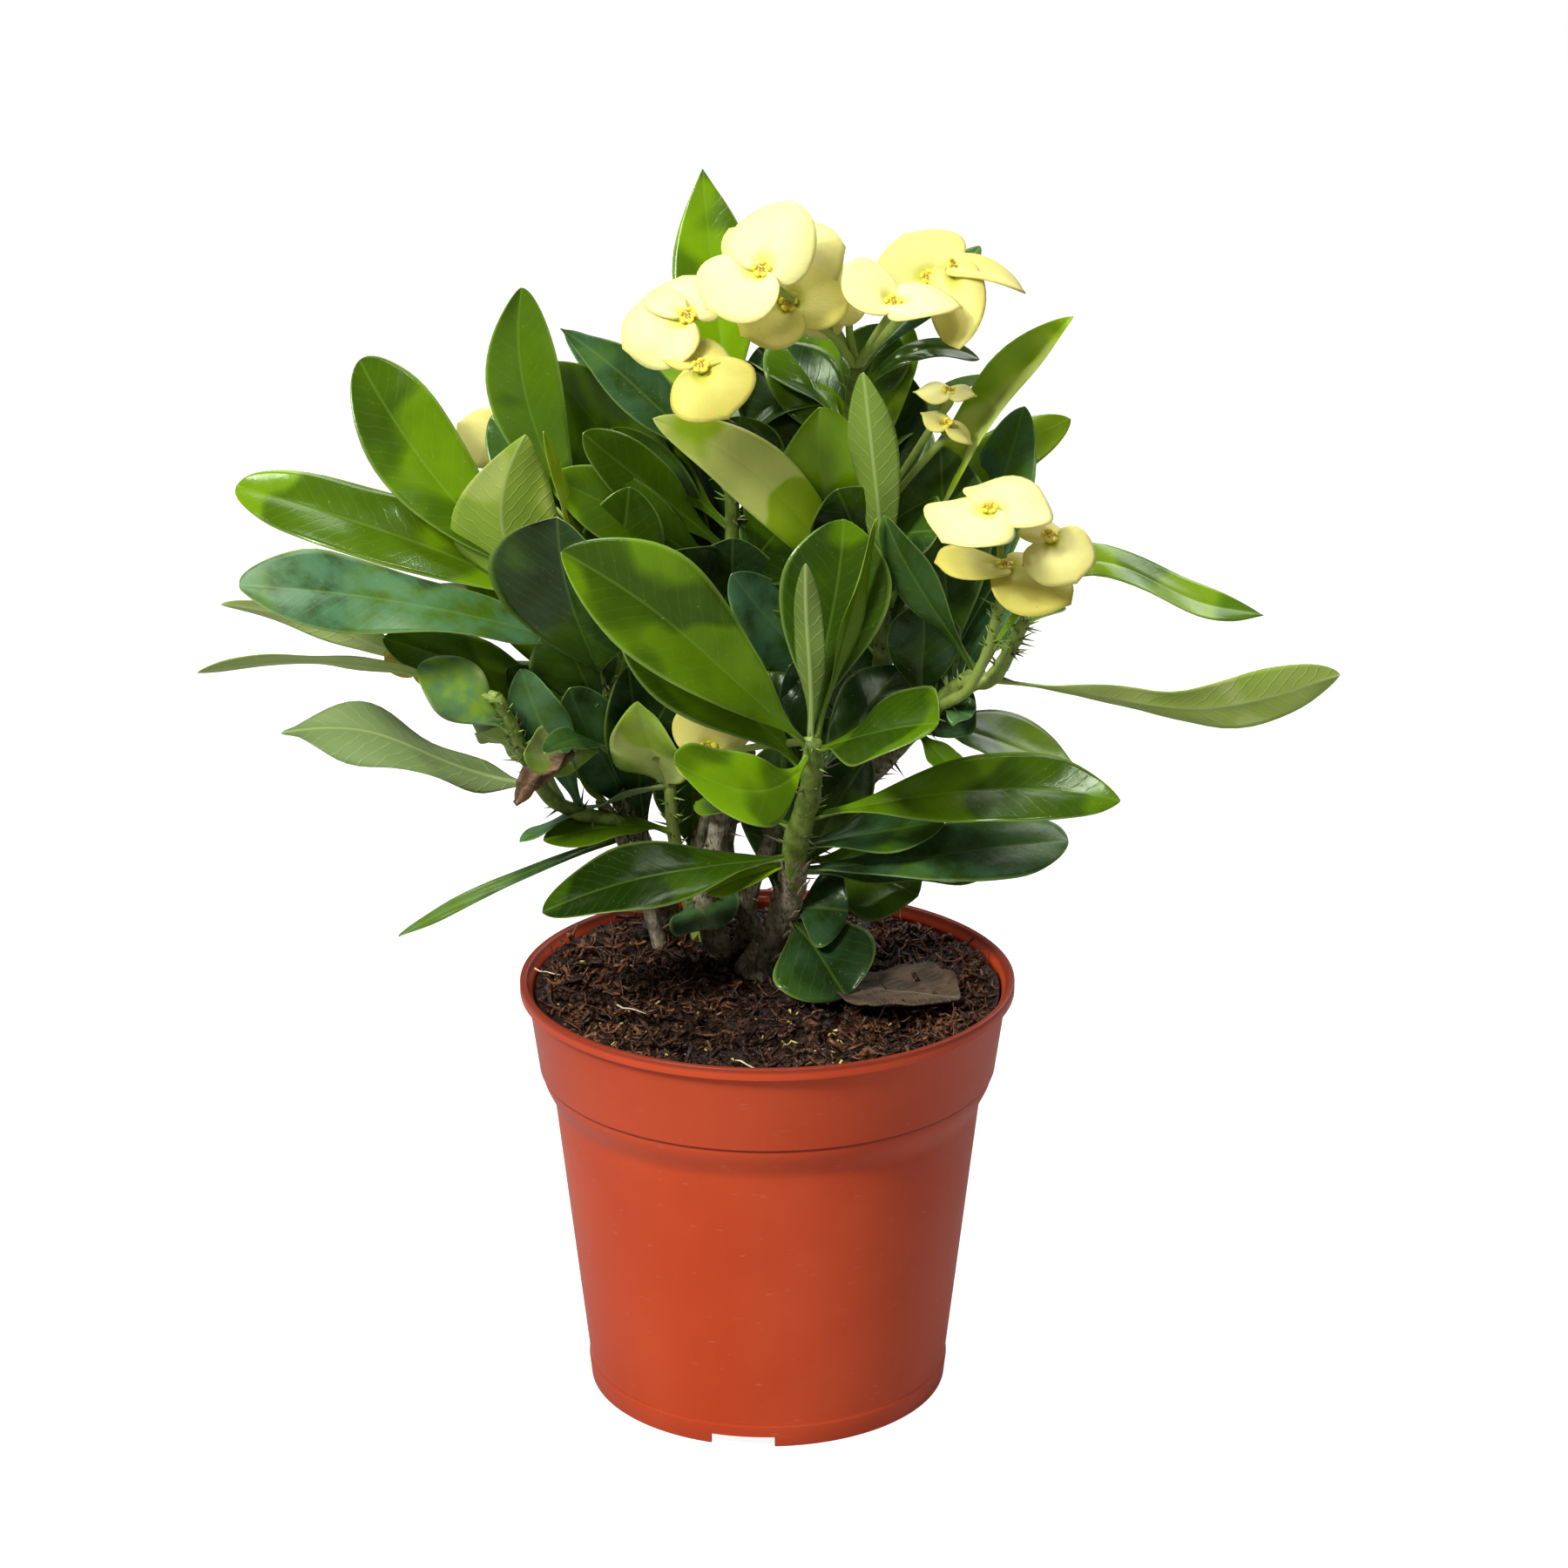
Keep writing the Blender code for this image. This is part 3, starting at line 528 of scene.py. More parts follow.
def routeShares(route):
    passed = [0.0]
    for start, end in zip(route, route[1:]):
        passed.append(passed[-1] + (end - start).length)
    return [value / passed[-1] for value in passed], passed[-1]


def tube(bm, route, radiusAt, sides, mark=None):
    # a closed tube: a grid wrapped round the route, with both ends drawn in to a point
    frames = framesAlong(route)
    shares, length = routeShares(route)
    last = len(route) - 1
    rows = [(0, 0.0), (0, 0.7)] + [(index, 1.0) for index in range(len(route))] + [(last, 0.7), (last, 0.0)]
    before = len(bm.verts)
    made = bmesh.ops.create_grid(bm, x_segments=len(rows) - 1, y_segments=sides, size=1.0)["verts"]
    layer = bm.verts.layers.float_vector.get(mark[0]) if mark else None
    for vertex in made:
        index, draw = rows[round((vertex.co.x + 1) / 2 * (len(rows) - 1))]
        angle = (vertex.co.y + 1) * math.pi
        point, ahead, across, beside = frames[index]
        share = shares[index]
        radius = radiusAt(share, angle) * draw
        cap = (ahead * (1 if index else -1)) * radiusAt(share, 0.0) * (0.25 * (1 - draw) if draw < 1 else 0.0)
        if layer:
            vertex[layer] = mark[1](share, length)
        vertex.co = point + cap + radius * (math.cos(angle) * across + math.sin(angle) * beside)
    bmesh.ops.remove_doubles(bm, verts=made, dist=1e-6)
    fresh = bm.verts[before:] if before else bm.verts
    faces = {face for vertex in fresh for face in vertex.link_faces}
    bmesh.ops.recalc_face_normals(bm, faces=list(faces))


# Pot

def makePot():
    pot = {
        "rim": 60.0, "base": 44.0, "height": 105.0, "wall": 1.2, "lipOut": 1.8, "lipHigh": 3.0,
        "bandHigh": 22.5, "bandTaper": 2.7, "stepHigh": 9.5, "stepIn": 3.7, "footHigh": 5.5, "groove": 0.3,
        "flare": 2.5, "lipThick": 1.5, "ledge": 0.45, "floor": 2.8, "round": 0.35, "segments": 144,
        "notches": 3, "notchWide": 15.5, "notchHigh": 2.7, "notchAngle": -98.0,
        "holes": 6, "holeAcross": 8.0, "holeRing": 25.0,
    }
    band = pot["rim"] - pot["lipOut"]
    bandLow = pot["height"] - pot["bandHigh"]
    stepLow = bandLow - pot["stepHigh"]
    step = band - pot["bandTaper"] - pot["stepIn"]

    def wallAt(height):
        return pot["base"] + height / stepLow * (step - pot["base"])

    inner = pot["floor"] + pot["wall"]
    wall = pot["wall"]
    ledge = band - pot["bandTaper"] - pot["ledge"]
    shoulder = []
    for index in range(13):
        turn = index / 12
        blend = turn * turn * (3 - 2 * turn)
        shoulder.append((ledge + (step - ledge) * blend, bandLow - 0.1 - pot["stepHigh"] * turn))
    profile = [
        (0.0, inner), (wallAt(inner) - wall, inner), (step - wall, stepLow),
        (band - pot["bandTaper"] - wall, bandLow),
        (band - wall, pot["height"] - pot["flare"]), (pot["rim"] - pot["lipThick"], pot["height"]),
        (pot["rim"], pot["height"]), (pot["rim"], pot["height"] - pot["lipHigh"]),
        (band, pot["height"] - pot["lipHigh"] + 0.2), (band - pot["bandTaper"], bandLow),
        *shoulder,
        (wallAt(pot["footHigh"]) - pot["groove"], pot["footHigh"] + 0.7),
        (wallAt(pot["footHigh"]), pot["footHigh"]), (pot["base"], 0.0), (pot["base"] - wall, 0.0),
        (wallAt(pot["floor"]) - wall, pot["floor"]), (0.0, pot["floor"]),
    ]
    bm = spinProfile(profile, pot["segments"])
    bend = math.radians(14)
    sharp = [edge for edge in bm.edges if len(edge.link_faces) == 2 and edge.calc_face_angle() > bend]
    bmesh.ops.bevel(bm, geom=sharp, offset=pot["round"] * mm, segments=3, profile=0.5, material=-1,
                    affect="EDGES")
    piece = addPiece("pot_shell", bm, [potPlastic], ["pot"])
    cutters = []
    for turn in range(pot["notches"]):
        angle = math.radians(pot["notchAngle"] + 360 / pot["notches"] * turn)
        size = (wall * 5 * mm, pot["notchWide"] * mm, pot["notchHigh"] * 2 * mm)
        place = Matrix.Rotation(angle, 4, "Z") @ Matrix.Translation((pot["base"] * mm, 0, 0))
        place = place @ Matrix.Diagonal((*size, 1))
        notch = bmesh.new()
        bmesh.ops.create_cube(notch, size=1.0, matrix=place)
        cutters.append(notch)
    for turn in range(pot["holes"]):
        angle = math.tau * turn / pot["holes"]
        spot = Vector((math.cos(angle), math.sin(angle), 0)) * pot["holeRing"] * mm
        spot += worldUp * pot["floor"] * mm
        radius = pot["holeAcross"] / 2 * mm
        hole = bmesh.new()
        bmesh.ops.create_cone(hole, cap_ends=True, segments=32, radius1=radius, radius2=radius,
                              depth=wall * 4 * mm, matrix=Matrix.Translation(spot))
        cutters.append(hole)
    for cutter in cutters:
        block = newObject("cutter", meshOf("cutter", cutter))
        cut = piece.modifiers.new("cut", "BOOLEAN")
        cut.object = block
        bakeModifiers(piece)
        bpy.data.objects.remove(block)
    piece.data.shade_smooth()
    piece.data.set_sharp_from_angle(angle=math.radians(32))
    print("pot made")


# Potting mix

mix = {
    "edge": 56.4, "top": 97.5, "dome": 1.0, "lumps": 2.8, "rings": 64, "segments": 150,
    "darkFibres": 1200, "redFibres": 900, "clods": 800, "crumbs": 50,
    "heaps": ((-36, 22, 26, 2.6), (42, 8, 24, 1.6), (-30, -30, 18, 0.8)), "bank": 3.6,
    # down inside the pot's wall: (radius, height)
    "sides": [(54.1, 82.5), (50.4, 73.0), (43.2, 4.4), (0.0, 4.4)],
}


def mixHeight(x, y):
    # height of the mix's surface, x and y in metres
    away = math.hypot(x, y) / (mix["edge"] * mm)
    spot = Vector((x, y, 0.0))
    lumps = noise.noise(spot * 90) * 0.9 + noise.noise(spot * 260) * 0.55 + noise.noise(spot * 700) * 0.35
    fade = 1.0 - 0.6 * min(max((away - 0.9) / 0.1, 0.0), 1.0)
    height = mix["top"] + mix["dome"] * math.cos(away * math.pi / 2) + lumps * mix["lumps"] * fade
    height += mix["bank"] * min(max((away - 0.62) / 0.33, 0.0), 1.0) ** 2
    for right, back, wide, high in mix["heaps"]:
        height += high * math.exp(-((x / mm - right) ** 2 + (y / mm - back) ** 2) / wide**2)
    return height * mm


def makeMixBed():
    edge = mix["edge"]
    profile = [(edge * ring / mix["rings"], mix["top"]) for ring in range(mix["rings"] + 1)]
    bm = spinProfile(profile + mix["sides"], mix["segments"])
    for vertex in bm.verts:
        if vertex.co.z > (mix["top"] - 1) * mm:
            vertex.co.z = mixHeight(vertex.co.x, vertex.co.y)
    addPiece("mix_bed", bm, [mixBed], ["soil"])


def fibreTemplate(chance, length, radius, bend, sides=3, steps=4):
    points = []
    for step in range(steps + 1):
        t = step / steps - 0.5
        aside = bend * length * (t * t * 2 + chance.uniform(-0.15, 0.15))
        points.append(Vector((t * length, aside, chance.uniform(-0.1, 0.1) * length)) * mm)
    bm = bmesh.new()
    tube(bm, points, lambda share, angle: radius * mm * (1 - 0.5 * share), sides)
    return meshOf("fibre", bm)


def scatter(name, chance, templates, count, material, spread, lift, tilt, keep=None):
    bm = bmesh.new()
    placed = 0
    while placed < count:
        away = mix["edge"] * mm * 0.985 * math.sqrt(chance.random())
        angle = chance.uniform(0, math.tau)
        x, y = away * math.cos(angle), away * math.sin(angle)
        if keep and not keep(x, y, chance):
            continue
        copy = chance.choice(templates).copy()
        size = chance.uniform(*spread)
        turn = Matrix.Rotation(chance.uniform(0, math.tau), 4, "Z")
        turn = turn @ Matrix.Rotation(chance.uniform(-tilt, tilt), 4, "Y")
        turn = turn @ Matrix.Rotation(chance.uniform(0, math.tau), 4, "X")
        spot = Vector((x, y, mixHeight(x, y) + chance.uniform(*lift) * mm))
        copy.transform(Matrix.Translation(spot) @ turn @ Matrix.Scale(size, 4))
        reach = max(math.hypot(vertex.co.x, vertex.co.y) for vertex in copy.vertices)
        if reach < (mix["edge"] + 0.1) * mm:
            bm.from_mesh(copy)
            placed += 1
        bpy.data.meshes.remove(copy)
    addPiece(name, bm, [material])


def fibreKinds(chance, count, long, thick, bend):
    kinds = []
    for _ in range(count):
        length = chance.uniform(*long)
        radius = chance.uniform(*thick)
        kinds.append(fibreTemplate(chance, length, radius, chance.uniform(-bend, bend)))
    return kinds


def clodKinds(chance):
    clod = bmesh.new()
    bmesh.ops.create_icosphere(clod, subdivisions=1, radius=1.0 * mm)
    mesh = meshOf("clod", clod)
    squashed = []
    for _ in range(4):
        copy = mesh.copy()
        size = (chance.uniform(0.8, 1.3), chance.uniform(0.6, 1.0), chance.uniform(0.4, 0.8), 1)
        copy.transform(Matrix.Diagonal(size))
        squashed.append(copy)
    return squashed


def makeMix():
    makeMixBed()
    chance = random.Random(11)
    fine = fibreKinds(chance, 6, (5, 10), (0.16, 0.32), 1.2)
    coarse = fibreKinds(chance, 12, (4, 10), (0.40, 0.95), 0.9)

    def dryPart(x, y, chance):
        # the sides are drier and show more fibre
        return chance.random() < 0.18 + 0.82 * min(abs(x + 0.004) / 0.042, 1.0) ** 1.6

    scatter("mix_fibres", chance, fine + coarse, mix["darkFibres"], mixFibre, (0.6, 1.2), (-0.2, 0.9), 0.40)
    scatter("mix_red_fibres", chance, fine + coarse, mix["redFibres"], redFibre, (0.5, 1.0), (0.0, 1.1), 0.45,
            dryPart)
    scatter("mix_clods", chance, clodKinds(chance), mix["clods"], mixFibre, (0.4, 1.7), (-0.2, 0.5), 1.5)

    def frontPart(x, y, chance):
        return y < 0.0 or chance.random() < 0.15

    chip = [fibreTemplate(chance, 2.8, 0.42, 0.9, 4, 3) for _ in range(3)]
    scatter("mix_crumbs", chance, chip, mix["crumbs"], crumbSkin, (0.4, 0.9), (0.3, 1.0), 0.5, frontPart)
    bm = bmesh.new()
    # straw slivers: middle (right, back) in mm, length in mm, heading in degrees
    slivers = (
        (-33, -11, 9, -38), (-5, -52, 7, -42), (-33, 18, 5, -60), (-54, 6, 8, -30),
        (33, 3, 8, -22), (38, -12, 7, 20), (12, -33, 4, 30), (-20, -36, 4, 65),
    )
    for right, back, length, heading in slivers:
        sliver = fibreTemplate(chance, length, 0.32, 0.12, 4, 4)
        spot = Vector((right * mm, back * mm, mixHeight(right * mm, back * mm) + 1.3 * mm))
        place = Matrix.Translation(spot) @ Matrix.Rotation(math.radians(heading), 4, "Z")
        sliver.transform(place @ Matrix.Diagonal((1, 1, 0.6, 1)))
        bm.from_mesh(sliver)
    addPiece("mix_slivers", bm, [straw])
    print("potting mix made")


# Stems: radii at the foot and the top in mm, route as (right, back, up from the mix) in mm,
# barkTo is how far up it the bark reaches (0 to 1), and thorns is how many it bears
# Many of the places below were worked out by a helper program and copied in, not set by hand

stemPlan = {
    "front_stem": {
        "radii": (4.3, 2.4), "barkTo": 0.50, "thorns": 12,
        "route": [(-3, 15, 0), (-3, 15, 2), (3, 11, 15), (6, 5, 28), (7, 0, 40), (10, -5, 54), (11, -12, 70)],
    },
    "slender_stem": {
        "radii": (1.9, 1.5), "barkTo": -0.2, "thorns": 0, "pale": 0.8,
        "route": [(-17, 35, 0), (-17, 35, 2), (-20, 34, 14), (-23, 30, 31), (-24, 26, 47)],
    },
    "left_stem": {
        "radii": (2.6, 1.7), "barkTo": 0.52, "thorns": 22,
        "route": [(-24, 41, 0), (-24, 41, 3), (-26, 38, 14), (-31, 34, 27), (-36, 28, 42), (-38, 22, 59),
                  (-39, 14, 79), (-40, 9, 96), (-39, 6, 111)],
    },
    "left_branch": {
        "radii": (2.0, 1.6), "barkTo": -0.2, "thorns": 10, "joins": (-36, 27, 34),
        "route": [(-37, 21, 38), (-47, 15, 43), (-54, 10, 50), (-60, 4, 66), (-64, 0, 77)],
    },
    "back_stem": {
        "radii": (2.9, 1.4), "barkTo": 0.40, "thorns": 22,
        "route": [(-15, 47, 0), (-15, 47, 3), (-18, 46, 20), (-14, 44, 37), (-10, 40, 53), (-8, 36, 75),
                  (-8, 30, 101), (-9, 22, 131), (-12, 12, 146), (-14, 4, 150)],
    },
    "right_stem": {
        "radii": (3.1, 2.0), "barkTo": 0.78, "thorns": 26,
        "route": [(3, 37, 0), (3, 37, 3), (6, 36, 18), (14, 34, 32), (23, 28, 45), (34, 20, 60), (41, 12, 71),
                  (51, 6, 82)],
    },
    "centre_stem": {
        "radii": (2.8, 1.7), "barkTo": 0.10, "thorns": 16, "joins": (21, 30, 45),
        "route": [(24, 34, 53), (27, 27, 63), (28, 21, 80), (27, 18, 98), (24, 16, 118), (20, 15, 137),
                  (21, 13, 154)],
    },
    "right_peduncle": {
        "radii": (1.4, 1.1), "barkTo": -0.2, "thorns": 0, "joins": (42, 12, 71), "pale": 0.9,
        "route": [(44, 6, 74), (48, 0, 79), (52, -5, 90), (54, -9, 101), (55, -12, 107)],
    },
    # these show low between the others, and have no piece of their own in the CAD model
    "woody_stub": {
        "radii": (2.6, 1.8), "barkTo": 1.2, "thorns": 8,
        "route": [(-6, 30, 0), (-6, 30, 3), (-4, 28, 18), (0, 24, 30), (2, 22, 40)],
    },
    "grey_twig": {
        "radii": (1.6, 1.2), "barkTo": 1.2, "thorns": 6,
        "route": [(-20, 38, 0), (-20, 38, 4), (-18, 36, 22), (-14, 33, 40), (-12, 30, 52)],
    },
    "broken_stub": {
        "radii": (3.6, 2.2), "barkTo": 1.2, "thorns": 8,
        "route": [(-12, 26, 0), (-12, 26, 3), (-15, 24, 16), (-13, 19, 30), (-9, 12, 56)],
    },
    "dark_twig": {
        "radii": (2.4, 1.8), "barkTo": 1.2, "thorns": 8,
        "route": [(-2, 28, 0), (-2, 28, 3), (-8, 26, 20), (-10, 22, 34), (-4, 16, 58)],
    },
    "right_tip": {
        "radii": (2.2, 1.5), "barkTo": -0.2, "thorns": 4, "joins": (47, 8, 78), "pale": 0.6,
        "route": [(50, 5, 79), (54, 3, 81), (58, 1, 89), (61, 0, 96)],
    },
    "low_twig": {
        "radii": (1.9, 1.4), "barkTo": 1.2, "thorns": 8,
        "route": [(-27, 30, 0), (-27, 30, 3), (-31, 28, 18), (-36, 24, 33), (-41, 20, 44)],
    },
}


routeSteps = 9  # steps between two points of a stem's route


def plantPoint(point):
    return Vector(point) * mm + worldUp * soilLevel


def stemRoute(name):
    plan = stemPlan[name]
    points = [plantPoint(point) for point in plan["route"]]
    if "joins" in plan:
        points.insert(0, plantPoint(plan["joins"]))
    else:
        points.insert(0, points[0] - worldUp * 4 * mm)  # the foot goes down into the mix
    return smoothRoute(points, routeSteps)


stemRoutes = {name: stemRoute(name) for name in stemPlan}


def stemSpot(name, share):
    # point, direction and radius at a share of the stem's length above its foot
    route = stemRoutes[name]
    shown = route[routeSteps:]
    shares, _ = routeShares(shown)
    low, high = stemPlan[name]["radii"]
    for index in range(len(shown) - 1):
        if share <= shares[index + 1] or index == len(shown) - 2:
            break
    gap = shares[index + 1] - shares[index]
    point = shown[index].lerp(shown[index + 1], min((share - shares[index]) / gap, 1.0))
    ahead = (shown[index + 1] - shown[index]).normalized()
    return point, ahead, (low + (high - low) * share) * mm


def makeStem(name):
    plan = stemPlan[name]
    low, high = plan["radii"]
    route = stemRoutes[name]
    seed = len(name) * 1.7
    woody = 1.0 if plan["barkTo"] > 0.3 else 0.4

    def radiusAt(share, angle):
        ribs = 0.035 * woody * math.sin(5 * angle + share * 9 + seed)
        swell = 1 + 0.05 * math.sin(share * 46 + seed) + ribs
        rough = noise.noise(Vector((math.cos(angle) * 1.3, math.sin(angle) * 1.3, share * 26 + seed)))
        flare = 0.22 * max(0.0, 1 - share * 9) if "joins" not in plan else 0.0
        cap = 1 - 0.25 * max(0.0, (share - 0.97) / 0.03)
        return (low + (high - low) * share) * mm * (swell + 0.09 * woody * rough + flare) * cap

    def age(share, length):
        green = min(max((share - plan["barkTo"] + 0.12) / 0.24, 0.0), 1.0)
        return (1 - green, share * length / mm, plan.get("pale", 0.0))

    bm = bmesh.new()
    bm.verts.layers.float_vector.new("bark")
    tube(bm, route, radiusAt, 22, ("bark", age))
    addPiece(name + "_skin", bm, [stemSkin], ownNode(name))


def addSpike(bm, start, heading, length, radius, segments=6):
    turn = heading.to_track_quat("Z", "Y").to_matrix().to_4x4()
    place = Matrix.Translation(start) @ turn @ Matrix.Translation((0, 0, length / 2))
    bmesh.ops.create_cone(bm, cap_ends=True, segments=segments, radius1=radius, radius2=radius * 0.06,
                          depth=length, matrix=place)


def outwardAt(turn, ahead):
    return Matrix.Rotation(turn, 3, ahead) @ ahead.orthogonal().normalized()


thorns = {
    "first": 0.10, "spread": 0.86, "apart": 0.35, "long": (2.6, 5.4), "thick": 0.42,
    "footLong": 1.4, "footThick": 0.85,
}


def makeThorns(name):
    count = stemPlan[name]["thorns"]
    chance = random.Random(name)
    bm = bmesh.new()
    for index in range(count):
        share = thorns["first"] + thorns["spread"] * (index + chance.uniform(0.1, 0.9)) / count
        point, ahead, radius = stemSpot(name, share)
        outward = outwardAt(index * 2.4 + chance.uniform(-0.3, 0.3), ahead)
        for side in (-1, 1):
            heading = (outward + ahead * chance.uniform(0.0, 0.5)).normalized()
            heading = Matrix.Rotation(side * thorns["apart"], 3, ahead) @ heading
            length = chance.uniform(*thorns["long"]) * mm
            addSpike(bm, point + heading * radius * 0.7, heading, length + radius * 0.3, thorns["thick"] * mm)
            # its swollen foot
            addSpike(bm, point + heading * radius * 0.6, heading, thorns["footLong"] * mm,
                     thorns["footThick"] * mm)
    if count:
        addPiece(name + "_thorns", bm, [thornSkin])
    else:
        bm.free()


tufts = {"count": 13, "long": (2.2, 5.0), "thick": 0.38}


def makeTufts(name):
    # green bristles where the leaves sit, thickest near the top
    chance = random.Random(name + " tufts")
    bm = bmesh.new()
    for index in range(tufts["count"]):
        share = 0.5 + 0.49 * (index + chance.random()) / tufts["count"]
        point, ahead, radius = stemSpot(name, share)
        outward = outwardAt(index * 2.4, ahead)
        for side in (-0.5, 0.1, 0.6):
            heading = (outward + ahead * chance.uniform(0.2, 1.1)).normalized()
            heading = Matrix.Rotation(side, 3, ahead) @ heading
            length = chance.uniform(*tufts["long"]) * mm
            addSpike(bm, point + heading * radius * 0.6, heading, length, tufts["thick"] * mm, 5)
    addPiece(name + "_tufts", bm, [bristleSkin])


flakes = {"count": 16, "long": (3.0, 6.0), "wide": (1.2, 2.4), "thick": 0.22}


def makeFlakes(name, low, high):
    # loose curls of old bark
    chance = random.Random(name + " flakes")
    bm = bmesh.new()
    for index in range(flakes["count"]):
        point, ahead, radius = stemSpot(name, low + (high - low) * index / flakes["count"])
        outward = outwardAt(index * 2.1 + chance.random(), ahead)
        beside = ahead.cross(outward)
        long, wide = chance.uniform(*flakes["long"]) * mm, chance.uniform(*flakes["wide"]) * mm
        lift = chance.uniform(0.4, 1.8) * mm
        grid = bmesh.ops.create_grid(bm, x_segments=6, y_segments=3, size=1.0)
        for vertex in grid["verts"]:
            share, across = (vertex.co.x + 1) / 2, vertex.co.y
            half = wide * (1 - 0.5 * share**2) * (1 + 0.2 * chance.uniform(-1, 1))
            out = radius * (1.0 - 0.12 * across**2) + lift * share**2
            vertex.co = point + ahead * long * share + outward * out + beside * half * across
    piece = addPiece(name + "_flakes", bm, [flakeSkin])
    thicken(piece, flakes["thick"] * mm)


def makeStems():
    for name in stemPlan:
        makeStem(name)
        makeThorns(name)
        if stemPlan[name]["barkTo"] < 1.0:
            makeTufts(name)
    makeFlakes("front_stem", 0.04, 0.55)
    makeFlakes("left_stem", 0.04, 0.45)
    print("stems made")


# Leaves: stem, how far up it the leaf sits, tip from the middle of the stem there as (right, back, up) in mm,
# width in mm, the way the upper side looks, and tone as (light, yellow, bloom). The light value is partly
# painted light and shade: leaves that sit in shadow are given darker tones, and some sunlit ones paler.
# Then what differs from leafShape or from 0: arch, bow and ripple are shares of the length, fold and twist
# are in degrees, and wave is in mm
# Many of the places below were worked out by a helper program and copied in, not set by hand

leafShape = {
    "rows": 34, "columns": 18, "petiole": 0.06, "petioleWide": 1.8, "widest": 0.66, "blunt": 0.62,
    "taper": 1.45, "thick": 1.25, "thinnest": 0.30, "dip": 0.26, "wave": 0.8, "uneven": 0.75,
    "footIn": 0.55, "fold": 4.0,
}


def leafRow(stem, at, reach, width, face, tone, **shape):
    return dict(stem=stem, at=at, reach=reach, width=width, face=face, tone=tone, **shape)


